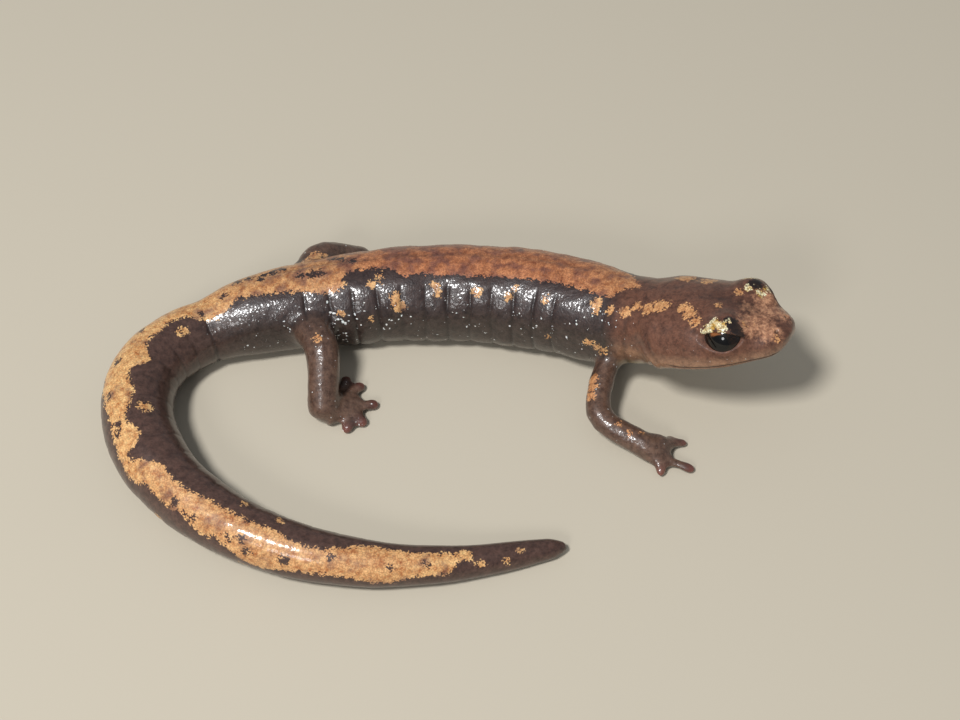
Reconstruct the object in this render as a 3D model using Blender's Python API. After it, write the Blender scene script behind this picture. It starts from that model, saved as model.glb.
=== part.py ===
"""Roberts' false brook salamander, a life-size still model that rests on the floor.

The script works in millimetres and writes metres. +X is the way the animal faces, +Y is its
left, +Z is up and the floor is z = 0. The trunk and tail follow one bent line that starts at
the neck joint and runs back to the tail tip, and the four limbs grow from it.
"""

import bisect
import math

import bmesh
import bpy
from mathutils import Matrix, Vector

MM = 0.001
GAP = 0.3

# The bent line of the body, measured back from the neck joint. Each station holds:
# distance back, facing direction in degrees, height of the centre above the floor,
# half width, half height, and roll in degrees (minus turns the back to the animal's left).
NECK_JOINT = (13.4, 0.0)
HEAD_PITCH = 21
BODY = {
    "neck": (0.0, -28, 5.6, 3.9, 3.65, -8),
    "shoulder": (4.5, -27, 4.55, 4.3, 4.05, -2),
    "chest": (8.5, -17, 4.15, 4.5, 4.05, 0),
    "belly": (15.0, -5, 3.8, 4.4, 3.98, 0),
    "flank": (21.5, 4, 3.72, 4.3, 3.9, 0),
    "loin": (27.0, 8, 3.52, 4.05, 3.7, -4),
    "hip": (31.5, 12, 3.35, 3.75, 3.5, -8),
    "tail_root": (35.5, 17, 3.15, 3.3, 3.25, -16),
    "constriction": (39.3, 26, 2.65, 2.8, 2.75, -24),
    "first_bend": (43.5, 50, 2.75, 2.9, 2.85, -30),
    "outer_bend": (49.0, 90, 2.85, 3.0, 2.95, -35),
    "thickest": (54.0, 114, 2.85, 3.0, 2.95, -38),
    "second_bend": (60.0, 136, 2.6, 2.72, 2.7, -40),
    "return": (68.0, 156, 2.25, 2.38, 2.35, -40),
    "run": (76.0, 173, 1.85, 1.98, 1.95, -38),
    "thin": (83.0, 186, 1.4, 1.52, 1.5, -30),
    "last": (89.5, 194, 1.0, 1.12, 1.05, -20),
    "tip": (94.0, 195, 0.7, 0.76, 0.72, -10),
}
COLUMNS = 24
TAIL_COLUMNS = 20
BACK_POWER = 2.0
BELLY_POWER = 2.5
TAIL_END = 0.9
SPINE_STEP = 0.25

# The folds of the flank, the costal grooves, run from the armpit to the groin, and weaker
# ones follow down the tail.
FIRST_GROOVE = 6.4
GROOVE_SPACING = 2.16
GROOVES = 12
GROOVE_DEPTH = 0.2
GROOVE_HALF_WIDTH = 0.34
TAIL_GROOVES = 9
TAIL_GROOVE_DEPTH = 0.11
CREASE_DEPTH = 0.28

# Where the body is parted into named lengths, as distances back from the neck joint.
LENGTHS = {
    "neck": (GAP, 4.3),
    "chest": (4.3, 12.0),
    "belly": (12.0, 25.4),
    "hips": (25.4, 35.0),
    "tail_base": (35.0, 44.6),
    "tail_bend": (44.6, 57.0),
    "tail_return": (57.0, 71.0),
    "tail_run": (71.0, 83.0),
    "tail_tip": (83.0, 94.0),
}

# The head, in its own frame: x runs forward from the neck joint, y is left and z is up.
# Stations hold: x, half width, top, bottom and height of the mouth line.
HEAD = {
    "joint": (0.0, 3.9, 3.65, -3.65, 0.0),
    "nape": (2.0, 3.95, 3.4, -3.2, -0.1),
    "jaw_angle": (4.0, 4.95, 3.42, -2.55, -0.45),
    "cheek": (7.2, 5.05, 3.34, -2.1, -0.65),
    "eye": (9.8, 4.5, 2.95, -1.85, -0.55),
    "lore": (11.6, 3.95, 2.3, -1.65, -0.45),
    "nostril": (13.0, 3.45, 1.85, -1.5, -0.4),
    "lip": (14.8, 3.1, 1.45, -1.3, -0.35),
}
HEAD_LENGTH = 14.75
SNOUT_FROM = 9.0
SNOUT_POWER = 3.0
SNOUT_LEAN = 0.3
HEAD_RINGS = 20
SNOUT_RINGS = 9
SKULL_POWER = 2.35
UPPER_COLUMNS = 16
LOWER_COLUMNS = 10
LIP_ANGLE = 0.13
MOUTH_CORNER = 5.4
MOUTH_FADE = 1.2
MOUTH_DEPTH = 0.4
EYE = (10.2, 2.5, 1.12)
EYE_RADIUS = 1.4
GAZE = (0.2, 0.95, 0.22)
EYE_FORWARD = 0.1
LID_RADIUS = 2.02
LID_BLEND = 0.7
SLIT = (0.88, 1.55, 1.3)
SLIT_FORWARD = 1.9
NOSTRIL = (13.55, 1.7, 0.8)
NOSTRIL_RADIUS = 0.22

# The limbs, in floor coordinates. The path is the joint in the body, the elbow or knee, and the
# wrist or ankle, with a radius at each. Each digit is the place of its tip on the floor.
LIMBS = {
    "foreleg_right": {
        "path": ((12.5, 0.6, 4.4), (10.2, -7.6, 2.15), (14.1, -10.55, 1.15)),
        "knuckles": (15.5, -11.05, 0.62),
        "radii": (1.05, 1.08, 1.12),
        "palm": 1.28,
        "tips": ((16.6, -8.9), (17.8, -9.5), (18.2, -12.5), (15.3, -13.1)),
    },
    "foreleg_left": {
        "path": ((12.0, 1.8, 4.6), (8.4, 8.6, 2.3), (4.2, 9.4, 1.15)),
        "knuckles": (2.9, 9.55, 0.62),
        "radii": (1.05, 1.08, 1.12),
        "palm": 1.28,
        "tips": ((1.9, 7.6), (0.4, 8.6), (0.2, 10.6), (1.8, 11.5)),
    },
    "hindleg_right": {
        "path": ((-15.8, 2.6, 3.4), (-13.6, -2.6, 4.3), (-13.55, -6.5, 1.4)),
        "knuckles": (-11.5, -5.4, 0.65),
        "radii": (2.1, 1.46, 1.34),
        "palm": 1.45,
        "tips": ((-11.7, -2.3), (-10.3, -3.1), (-8.9, -5.3), (-10.0, -7.7), (-11.6, -8.4)),
    },
    "hindleg_left": {
        "path": ((-16.3, 2.8, 3.4), (-14.7, 8.6, 3.85), (-11.2, 10.9, 1.4)),
        "knuckles": (-9.3, 10.6, 0.65),
        "radii": (2.0, 1.46, 1.34),
        "palm": 1.4,
        "tips": ((-9.4, 12.6), (-7.8, 12.1), (-6.8, 10.6), (-7.6, 9.2), (-9.2, 8.5)),
    },
}
LIMB_COLUMNS = 12
LIMB_RING_STEP = 0.95
PALM_THICK = 0.68
PALM_END = 0.6
FLOOR_SLAB = 2.0
DIGIT_COLUMNS = 8
DIGIT_RINGS = 6
DIGIT_ROOT = 0.46
DIGIT_WAIST = 0.4
DIGIT_PAD = 0.48
DIGIT_THICK = 0.72
DIGIT_ARCH = 0.12
DIGIT_SPREAD = 0.5
PALM_RINGS = 5
HEEL_RINGS = 4
HEEL_LENGTH = 1.0

# Colours of the skin and the eye, as linear red, green, blue and alpha.
SKIN = {"colour": (0.062, 0.028, 0.02, 1.0), "roughness": 0.35}
STRIPE = {"colour": (0.29, 0.095, 0.03, 1.0), "roughness": 0.35}
EYE_DARK = {"colour": (0.006, 0.006, 0.008, 1.0), "roughness": 0.08}


class Profile:
    """A curve through (position, value) pairs that passes each one and never overshoots."""

    def __init__(self, pairs, first_slope=None):
        self.at, self.value = zip(*sorted(pairs))
        steps = [
            (v2 - v1) / (a2 - a1)
            for a1, a2, v1, v2 in zip(self.at, self.at[1:], self.value, self.value[1:])
        ]
        inner = [
            0.0 if before * after <= 0 else 2 * before * after / (before + after)
            for before, after in zip(steps, steps[1:])
        ]
        first = steps[0] if first_slope is None else first_slope
        self.slope = [first, *inner, steps[-1]]

    def __call__(self, position):
        position = min(max(position, self.at[0]), self.at[-1])
        i = min(bisect.bisect_right(self.at, position), len(self.at) - 1) - 1
        span = self.at[i + 1] - self.at[i]
        t = (position - self.at[i]) / span
        return (
            (2 * t**3 - 3 * t**2 + 1) * self.value[i]
            + (t**3 - 2 * t**2 + t) * span * self.slope[i]
            + (3 * t**2 - 2 * t**3) * self.value[i + 1]
            + (t**3 - t**2) * span * self.slope[i + 1]
        )


def body_profile(column, first_slope=None):
    return Profile([(row[0], row[column]) for row in BODY.values()], first_slope)


RISE_AT_NECK = math.sin(math.radians(HEAD_PITCH))
HEADING = body_profile(1)
HEIGHT = body_profile(2, -RISE_AT_NECK)
HALF_WIDTH = body_profile(3)
HALF_HEIGHT = body_profile(4)
ROLL = body_profile(5)
BODY_END = BODY["tip"][0]


def direction_at(distance):
    """The way the body faces at this distance back, as a unit vector."""
    step = SPINE_STEP / 2
    rise = (HEIGHT(distance - step) - HEIGHT(distance + step)) / SPINE_STEP
    if distance < step:
        rise = RISE_AT_NECK
    if distance > BODY_END - step:
        rise = 0.0
    flat = math.sqrt(1 - rise * rise)
    heading = math.radians(HEADING(distance))
    return Vector((math.cos(heading) * flat, math.sin(heading) * flat, rise))


def trace_spine():
    """The centre line, one point every SPINE_STEP from the neck joint to the tail tip."""
    points = [Vector((*NECK_JOINT, HEIGHT(0)))]
    for i in range(round(BODY_END / SPINE_STEP)):
        middle = (i + 0.5) * SPINE_STEP
        point = points[-1] - direction_at(middle) * SPINE_STEP
        point.z = HEIGHT((i + 1) * SPINE_STEP)
        points.append(point)
    return points


SPINE = trace_spine()


def body_frame(distance):
    """Centre of the body at this distance back, and its forward, left and up directions."""
    place = min(max(distance / SPINE_STEP, 0), len(SPINE) - 1.001)
    i = int(place)
    centre = SPINE[i].lerp(SPINE[i + 1], place - i)
    forward = direction_at(distance)
    left = Vector((0, 0, 1)).cross(forward).normalized()
    turn = Matrix.Rotation(math.radians(ROLL(distance)), 3, forward)
    left = turn @ left
    return centre, forward, left, forward.cross(left)


def groove_list():
    """Every fold of the flank and tail as its distance back and its depth."""
    found = [(FIRST_GROOVE + i * GROOVE_SPACING, GROOVE_DEPTH) for i in range(GROOVES)]
    crease = BODY["constriction"][0]
    found.append((crease, CREASE_DEPTH))
    found.append((crease - GROOVE_SPACING, TAIL_GROOVE_DEPTH))
    for i in range(1, TAIL_GROOVES + 1):
        fading = 1 - 0.7 * i / TAIL_GROOVES
        found.append((crease + i * GROOVE_SPACING * 1.1, TAIL_GROOVE_DEPTH * fading))
    return found


FOLDS = groove_list()


def fold_depth(distance, angle):
    """How far the skin is pinched in here, which is most on the flanks."""
    flank = abs(math.cos(angle)) ** 0.7
    return sum(
        depth * flank * math.exp(-(((distance - at) / GROOVE_HALF_WIDTH) ** 2))
        for at, depth in FOLDS
        if abs(distance - at) < 4 * GROOVE_HALF_WIDTH
    )


def rounded(cosine, power):
    return math.copysign(abs(cosine) ** (2 / power), cosine)


def body_ring(distance, columns, grow=0.0):
    """One cross-section of the trunk or tail, flattened where it lies on the floor."""
    centre, _, left, up = body_frame(distance)
    end = min(1.0, (BODY_END - distance) / TAIL_END)
    closing = math.sqrt(max(0.0, 1 - (1 - end) ** 2))
    half_width = HALF_WIDTH(distance) * closing + grow
    half_height = HALF_HEIGHT(distance) * closing + grow
    ring = []
    for k in range(columns):
        angle = 2 * math.pi * k / columns
        power = BACK_POWER if math.sin(angle) >= 0 else BELLY_POWER
        pinch = 1 - fold_depth(distance, angle) / HALF_WIDTH(distance)
        across = rounded(math.cos(angle), power) * half_width * pinch
        upward = rounded(math.sin(angle), power) * half_height * pinch
        point = centre + left * across + up * upward
        point.z = max(point.z, -grow)
        ring.append(point)
    return ring


def ring_places(start, end, plain_step):
    """Where the cross-sections of one length lie: close round each fold, wider between."""
    places = [start, end]
    for at, _ in FOLDS:
        for offset in (-1.15, 0.0, 1.15):
            places.append(at + offset * GROOVE_HALF_WIDTH)
    places = sorted(p for p in places if start <= p <= end)
    kept = [places[0]]
    for place in places[1:]:
        if place - kept[-1] >= GROOVE_HALF_WIDTH or place == end:
            kept.append(place)
    if kept[-1] - kept[-2] < GROOVE_HALF_WIDTH and len(kept) > 2:
        del kept[-2]
    filled = []
    for a, b in zip(kept, kept[1:]):
        pieces = max(1, round((b - a) / plain_step))
        filled += [a + (b - a) * i / pieces for i in range(pieces)]
    return [*filled, end]


def new_object(name, mesh, finish):
    """Puts a mesh in the scene as a named object with its own material."""
    obj = bpy.data.objects.new(name, mesh)
    bpy.context.scene.collection.objects.link(obj)
    material = bpy.data.materials.new(name)
    material.use_nodes = True
    shader = material.node_tree.nodes["Principled BSDF"]
    shader.inputs["Base Color"].default_value = finish["colour"]
    shader.inputs["Roughness"].default_value = finish["roughness"]
    mesh.materials.clear()
    mesh.materials.append(material)
    mesh.shade_smooth()
    mesh.set_sharp_from_angle(angle=math.radians(50))
    return obj


def loft(name, rings, finish, pole=None):
    """A closed skin over rings of equal count. The last ring closes on the pole, if given."""
    shape = bmesh.new()
    rows = [[shape.verts.new(point * MM) for point in ring] for ring in rings]
    count = len(rows[0])
    for row, following in zip(rows, rows[1:]):
        for k in range(count):
            j = (k + 1) % count
            shape.faces.new((row[k], row[j], following[j], following[k]))
    shape.faces.new(rows[0])
    if pole is None:
        shape.faces.new(rows[-1])
    else:
        tip = shape.verts.new(pole * MM)
        for k in range(count):
            shape.faces.new((rows[-1][k], rows[-1][(k + 1) % count], tip))
    bmesh.ops.recalc_face_normals(shape, faces=shape.faces)
    mesh = bpy.data.meshes.new(name)
    shape.to_mesh(mesh)
    shape.free()
    return new_object(name, mesh, finish)


def as_helper(obj):
    """A cutter, which is neither rendered nor part of the object."""
    obj.hide_render = True
    obj.display_type = "WIRE"
    return obj


def boolean(obj, operation, tools):
    """Joins the tools to the object or cuts them from it, then removes them."""
    group = bpy.data.collections.new(obj.name + "_tools")
    bpy.context.scene.collection.children.link(group)
    for tool in tools:
        for holder in tool.users_collection:
            holder.objects.unlink(tool)
        group.objects.link(tool)
    modifier = obj.modifiers.new(operation.lower(), "BOOLEAN")
    modifier.operation = operation
    modifier.operand_type = "COLLECTION"
    modifier.collection = group
    modifier.solver = "EXACT"
    bpy.context.view_layer.objects.active = obj
    bpy.ops.object.modifier_apply(modifier=modifier.name)
    for tool in tools:
        bpy.data.objects.remove(tool)
    bpy.data.collections.remove(group)


def keep_largest(obj):
    """Drops every closed surface but the largest one, such as a sliver left by a cut."""
    shape = bmesh.new()
    shape.from_mesh(obj.data)
    bmesh.ops.remove_doubles(shape, verts=shape.verts, dist=1e-6)
    left = set(shape.verts)
    islands = []
    while left:
        island, edge_of = set(), [left.pop()]
        while edge_of:
            vertex = edge_of.pop()
            island.add(vertex)
            for edge in vertex.link_edges:
                other = edge.other_vert(vertex)
                if other in left:
                    left.remove(other)
                    edge_of.append(other)
        islands.append(island)
    largest = max(islands, key=len)
    spare = [v for island in islands if island is not largest for v in island]
    bmesh.ops.delete(shape, geom=spare, context="VERTS")
    shape.to_mesh(obj.data)
    shape.free()


def make_body():
    """Neck, trunk and tail, each length ending in a flat face GAP short of the next."""
    for name, (start, end) in LENGTHS.items():
        last = name == "tail_tip"
        columns = TAIL_COLUMNS if name.startswith("tail") else COLUMNS
        stop = end - 0.12 if last else end - GAP / 2
        begin = start if name == "neck" else start + GAP / 2
        rings = [body_ring(at, columns) for at in ring_places(begin, stop, 1.25)]
        tip = body_frame(BODY_END)[0] if last else None
        loft(name, rings, STRIPE if name in ("chest", "belly") else SKIN, tip)


def smooth_max(a, b, blend):
    near = max(blend - abs(a - b), 0) / blend
    return max(a, b) + near * near * blend / 4


HEAD_PARTS = [Profile([(row[0], row[i]) for row in HEAD.values()]) for i in range(1, 5)]


def lid_reach(x, outward, centre):
    """How far the skin over the eyeball reaches from the head's middle along a direction."""
    ex, ey, ez = EYE
    radius = LID_RADIUS**2 - (x - ex) ** 2
    if radius <= 0:
        return 0.0
    to_eye = Vector((math.copysign(ey, outward.x), ez - centre))
    along = outward.dot(to_eye)
    inside = along * along - to_eye.length_squared + radius
    if inside <= 0 or along <= 0:
        return 0.0
    return along + math.sqrt(inside)


def head_ring(x):
    """One cross-section of the head: an upper and a lower half that meet at the mouth line."""
    end = max(0.0, (x - SNOUT_FROM) / (HEAD_LENGTH - SNOUT_FROM))
    closing = (1 - end**SNOUT_POWER) ** (1 / SNOUT_POWER)
    width, top, bottom, mouth = (part(x) for part in HEAD_PARTS)
    width *= closing
    upper = (top - mouth) * closing
    lower = (mouth - bottom) * closing
    open_mouth = min(1.0, max(0.0, (x - MOUTH_CORNER) / MOUTH_FADE))
    forward = min(1.0, x / 4)
    crown_power = BACK_POWER + (SKULL_POWER - BACK_POWER) * forward
    jaw_power = BELLY_POWER + (SKULL_POWER - BELLY_POWER) * forward
    angles = [0.0, LIP_ANGLE]
    angles += [
        LIP_ANGLE + (math.pi - 2 * LIP_ANGLE) * k / UPPER_COLUMNS
        for k in range(1, UPPER_COLUMNS)
    ]
    angles += [math.pi - LIP_ANGLE, math.pi, math.pi + LIP_ANGLE]
    angles += [
        math.pi + LIP_ANGLE + (math.pi - 2 * LIP_ANGLE) * k / LOWER_COLUMNS
        for k in range(1, LOWER_COLUMNS)
    ]
    angles += [2 * math.pi - LIP_ANGLE]
    centre = mouth + 0.3
    ring = []
    for angle in angles:
        crown = math.sin(angle) >= 0
        height, power = (upper, crown_power) if crown else (lower, jaw_power)
        y = width * rounded(math.cos(angle), power)
        z = mouth + height * rounded(math.sin(angle), power)
        outward = Vector((y, z - centre))
        reach = outward.length
        if reach > 1e-6:
            outward.normalize()
            reach = smooth_max(reach, lid_reach(x, outward, centre), LID_BLEND)
        if abs(math.sin(angle)) < 1e-6:
            reach -= MOUTH_DEPTH * open_mouth * min(1.0, closing * 2)
        y, z = outward * reach
        z += centre
        lean = SNOUT_LEAN * end * (z - mouth) / max(upper, 0.3)
        ring.append(Vector((x + lean, y, z)))
    return ring


def head_matrix():
    """Carries the head's own frame to the floor's."""
    centre, forward, left, up = body_frame(0)
    turn = Matrix((forward, left, up)).transposed().to_4x4()
    return Matrix.Translation(centre) @ turn


def ball(name, place, radius, finish, segments=20, scale=(1, 1, 1), facing=None):
    """A round primitive, stretched and turned so that its pole faces one way."""
    bpy.ops.mesh.primitive_uv_sphere_add(
        segments=segments, ring_count=segments // 2, radius=radius * MM
    )
    obj = bpy.context.object
    obj.name = name
    obj.data.transform(Matrix.Diagonal((*scale, 1)))
    if facing is not None:
        obj.data.transform(facing.to_track_quat("Z", "X").to_matrix().to_4x4())
    obj.data.transform(Matrix.Translation(place * MM))
    mesh = obj.data
    bpy.data.objects.remove(obj)
    return new_object(name, mesh, finish)


def make_head():
    """The head with its mouth line, eye sockets, lids and nostrils, and the two eyeballs."""
    to_floor = head_matrix()
    places = [SNOUT_FROM * i / HEAD_RINGS for i in range(HEAD_RINGS)]
    for i in range(SNOUT_RINGS):
        turn = math.pi / 2 * i / SNOUT_RINGS
        places.append(SNOUT_FROM + (HEAD_LENGTH - SNOUT_FROM) * math.sin(turn))
    rings = [[to_floor @ p for p in head_ring(x)] for x in places]
    mouth = HEAD_PARTS[3](HEAD_LENGTH)
    pole = to_floor @ Vector((HEAD_LENGTH - MOUTH_DEPTH / 2, 0, mouth))
    head = loft("head", rings, SKIN, pole)
    turn = to_floor.to_3x3()
    cutters = []
    for side, name in ((-1, "right"), (1, "left")):
        mirror = Vector((1, side, 1))
        gaze = (Vector(GAZE) * mirror).normalized()
        lid_centre = Vector(EYE) * mirror
        eye_centre = lid_centre + gaze * EYE_FORWARD
        ball("eye_" + name, to_floor @ eye_centre, EYE_RADIUS, EYE_DARK, 20, facing=turn @ gaze)
        opening = eye_centre + gaze * SLIT_FORWARD
        cutters.append(ball("socket", to_floor @ eye_centre, EYE_RADIUS + GAP, SKIN, 20))
        cutters.append(ball("slit", to_floor @ opening, 1, SKIN, 24, SLIT, turn @ gaze))
        nostril = Vector(NOSTRIL) * mirror
        cutters.append(ball("pit", to_floor @ nostril, NOSTRIL_RADIUS, SKIN, 12))
    boolean(head, "DIFFERENCE", cutters)
    keep_largest(head)
    return head


def limb_curve(limb):
    """Centre and radius along a limb, as profiles of the distance from its root."""
    points = [Vector(p) for p in limb["path"]]
    at = [0.0]
    for a, b in zip(points, points[1:]):
        at.append(at[-1] + (b - a).length)
    axes = [spline(list(zip(at, values))) for values in zip(*points)]
    radius = Profile(list(zip(at, limb["radii"])))
    return at, axes, radius


def spline(pairs):
    """A curve through (position, value) pairs that swings round its corners."""
    curve = Profile(pairs)
    slopes = [
        (curve.value[i + 1] - curve.value[i - 1]) / (curve.at[i + 1] - curve.at[i - 1])
        for i in range(1, len(curve.at) - 1)
    ]
    curve.slope = [curve.slope[0], *slopes, curve.slope[-1]]
    return curve


def oval(centre, ahead, across, upward, columns):
    """One oval cross-section, square to the way ahead."""
    side = Vector((0, 0, 1)).cross(ahead).normalized()
    over = ahead.cross(side)
    angles = [2 * math.pi * k / columns for k in range(columns)]
    return [
        centre + side * across * math.cos(angle) + over * upward * math.sin(angle)
        for angle in angles
    ]


def point_on(axes, at):
    return Vector([axis(at) for axis in axes])


def limb_ring(axes, at, across, upward, columns=LIMB_COLUMNS):
    ahead = (point_on(axes, at + 0.05) - point_on(axes, at - 0.05)).normalized()
    return oval(point_on(axes, at), ahead, across, upward, columns)


def limb_length(name, axes, radius, start, end, grow=0.0):
    count = max(2, round((end - start) / LIMB_RING_STEP))
    places = [start + (end - start) * i / count for i in range(count + 1)]
    rings = [limb_ring(axes, at, radius(at) + grow, radius(at) + grow) for at in places]
    return loft(name, rings, SKIN)


def digit(name, root, tip):
    """A short flat digit with a rounded pad, laid along the floor."""
    length = (tip - root).length
    ahead = (tip - root).normalized()
    middle = root.lerp(tip, 0.5) + Vector((0, 0, DIGIT_ARCH))
    axes = [
        spline([(0, root[i]), (length * 0.5, middle[i]), (length, tip[i])]) for i in range(3)
    ]
    width = Profile(
        [
            (0, DIGIT_ROOT),
            (length * 0.5, DIGIT_WAIST),
            (length - DIGIT_PAD, DIGIT_PAD),
            (length, DIGIT_PAD),
        ]
    )
    rings = []
    for i in range(DIGIT_RINGS):
        at = length * math.sin(math.pi / 2 * i / DIGIT_RINGS)
        closing = math.sqrt(1 - max(0.0, (at - length + DIGIT_PAD) / DIGIT_PAD) ** 2)
        half = width(at) * closing
        rings.append(limb_ring(axes, at, half, half * DIGIT_THICK, DIGIT_COLUMNS))
    return loft(name, rings, SKIN, tip + ahead * 0.02)


def box(name, low, high):
    """A plain block between two corners."""
    bpy.ops.mesh.primitive_cube_add(size=1)
    obj = bpy.context.object
    low, high = Vector(low) * MM, Vector(high) * MM
    obj.data.transform(Matrix.Diagonal((*(high - low), 1)))
    obj.data.transform(Matrix.Translation((low + high) / 2))
    obj.name = name
    return obj


def make_heel(name, first, onward, size):
    """The rounded wrist or heel that carries on from the limb."""
    rings = []
    for i in range(HEEL_RINGS):
        turn = math.pi / 2 * i / HEEL_RINGS
        place = first + onward * HEEL_LENGTH * math.sin(turn)
        rings.append(oval(place, onward, size * math.cos(turn), size * math.cos(turn), LIMB_COLUMNS))
    return loft(name, rings, SKIN, first + onward * HEEL_LENGTH)


def make_palm(heel, end, size, palm):
    """The flat palm or sole, from inside the heel to just past the knuckles."""
    ahead = (end - heel).normalized()
    across = Profile([(0, size * 0.94), (0.45, palm * 0.92), (0.8, palm), (1, palm * 0.6)])
    upward = Profile([(0, 1.1), (0.45, 0.84), (0.8, PALM_THICK), (1, PALM_THICK * 0.7)])
    rings = []
    for i in range(PALM_RINGS + 1):
        part = i / PALM_RINGS
        rings.append(oval(heel.lerp(end, part), ahead, across(part), upward(part), LIMB_COLUMNS))
    return loft("palm", rings, SKIN)


def make_hand(name, limb, axes, radius, bend, wrist):
    """A heel, a palm and the digits in one piece, cut clear of the limb and level on the floor."""
    size = radius(wrist)
    onward = (point_on(axes, wrist) - point_on(axes, wrist - 0.1)).normalized()
    first = point_on(axes, wrist) + onward * GAP / 2
    hand = make_heel(name, first, onward, size)
    centre = Vector(limb["knuckles"])
    heel = first + onward * 0.2
    heel.z = 0.95
    ahead = (centre - heel).normalized()
    pieces = [make_palm(heel, centre + ahead * PALM_END, size, limb["palm"])]
    side = Vector((-ahead.y, ahead.x, 0)).normalized()
    for i, place in enumerate(limb["tips"]):
        tip = Vector((*place, DIGIT_PAD * DIGIT_THICK * 0.85))
        root = centre + side * (tip - centre).dot(side) * DIGIT_SPREAD
        root.z = PALM_THICK * 0.9
        pieces.append(digit(f"digit_{i}", root, tip))
    boolean(hand, "UNION", pieces)
    x, y, _ = centre
    slab = box("floor_slab", (x - 8, y - 8, -FLOOR_SLAB), (x + 8, y + 8, 0))
    limb_clearance = limb_length("limb_clearance", axes, radius, bend, wrist, GAP)
    boolean(hand, "DIFFERENCE", [slab, limb_clearance])
    keep_largest(hand)


def make_limb(name, limb, body_clearance):
    """Upper length, lower length, and a hand or foot."""
    at, axes, radius = limb_curve(limb)
    fore = name.startswith("fore")
    names = ("upper_arm", "forearm", "hand") if fore else ("thigh", "shank", "foot")
    upper_name, lower_name, end_name = (f"{part}_{name.split('_')[1]}" for part in names)
    root, bend, wrist = at
    upper = limb_length(upper_name, axes, radius, root, bend - GAP / 2)
    lower = limb_length(lower_name, axes, radius, bend + GAP / 2, wrist - GAP / 2)
    for length in (upper, lower):
        cut = length.modifiers.new("clear_of_body", "BOOLEAN")
        cut.operation = "DIFFERENCE"
        cut.object = body_clearance
        cut.solver = "EXACT"
    make_hand(end_name, limb, axes, radius, bend, wrist)


def make_clearance():
    """The body grown by the gap, which parts the limbs from the trunk."""
    last = LENGTHS["tail_base"][1]
    places = ring_places(0.0, last, 1.25)
    rings = [body_ring(at, COLUMNS, GAP) for at in places]
    return as_helper(loft("body_clearance", rings, SKIN))


def centre_on_box():
    """Moves the whole model so that its box is centred over the origin."""
    nodes = [o for o in bpy.context.scene.objects if o.type == "MESH"]
    shown = [o for o in nodes if not o.hide_render]
    corners = [v.co for o in shown for v in o.data.vertices]
    low = [min(c[i] for c in corners) for i in range(3)]
    high = [max(c[i] for c in corners) for i in range(3)]
    shift = Vector((-(low[0] + high[0]) / 2, -(low[1] + high[1]) / 2, -low[2]))
    for obj in nodes:
        obj.data.transform(Matrix.Translation(shift))
    return shift


def main():
    for obj in list(bpy.data.objects):
        bpy.data.objects.remove(obj)
    make_body()
    make_head()
    clearance = make_clearance()
    for name, limb in LIMBS.items():
        make_limb(name, limb, clearance)
    shift = centre_on_box()
    print("moved to the box centre by", [round(c / MM, 3) for c in shift], "mm")
    return shift


main()
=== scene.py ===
import math

import bmesh
import bpy
import numpy as np
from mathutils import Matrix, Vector


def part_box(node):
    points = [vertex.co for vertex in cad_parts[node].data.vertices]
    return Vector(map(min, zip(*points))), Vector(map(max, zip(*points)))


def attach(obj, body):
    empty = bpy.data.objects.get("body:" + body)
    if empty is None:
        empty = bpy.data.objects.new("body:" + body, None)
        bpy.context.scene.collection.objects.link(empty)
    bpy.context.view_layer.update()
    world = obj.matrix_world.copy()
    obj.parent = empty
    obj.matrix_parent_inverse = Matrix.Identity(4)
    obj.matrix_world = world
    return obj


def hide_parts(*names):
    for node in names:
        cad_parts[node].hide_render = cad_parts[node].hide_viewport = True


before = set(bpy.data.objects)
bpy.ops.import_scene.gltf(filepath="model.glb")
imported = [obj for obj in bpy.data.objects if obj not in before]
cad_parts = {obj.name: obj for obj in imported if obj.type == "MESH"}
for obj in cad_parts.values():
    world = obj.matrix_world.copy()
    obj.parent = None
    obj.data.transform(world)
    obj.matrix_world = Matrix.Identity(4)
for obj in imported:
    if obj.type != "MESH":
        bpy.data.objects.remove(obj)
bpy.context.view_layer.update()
MM = 0.001
print("solids loaded:", len(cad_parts), "nodes")

# %% [markdown]
# ## Three small helpers
# Operators act on all that is selected, so we always clear the selection first. Colours are
# easiest to pick as hex values from a photograph, but a shader wants linear light, so one
# function turns one into the other. The last helper adds a node, sets it up and links it.
# %% Helpers


def select_only(*objects):
    """Selects these objects and makes the first one active."""
    bpy.ops.object.select_all(action="DESELECT")
    for obj in objects:
        obj.select_set(True)
    bpy.context.view_layer.objects.active = objects[0]


def colour(hex_value):
    """A linear red, green, blue and alpha from an sRGB hex value."""
    parts = [int(hex_value[i : i + 2], 16) / 255 for i in (1, 3, 5)]
    linear = [c / 12.92 if c <= 0.04045 else ((c + 0.055) / 1.055) ** 2.4 for c in parts]
    return (*linear, 1.0)


def add(tree, kind, inputs=None, **settings):
    """Adds a node. Each input is a value, or another node's output socket to link."""
    node = tree.nodes.new("ShaderNode" + kind)
    for name, value in settings.items():
        setattr(node, name, value)
    for name, value in (inputs or {}).items():
        if isinstance(value, bpy.types.NodeSocket):
            tree.links.new(value, node.inputs[name])
        else:
            node.inputs[name].default_value = value
    return node


print("mid grey as linear light:", round(colour("#808080")[0], 3))

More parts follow.
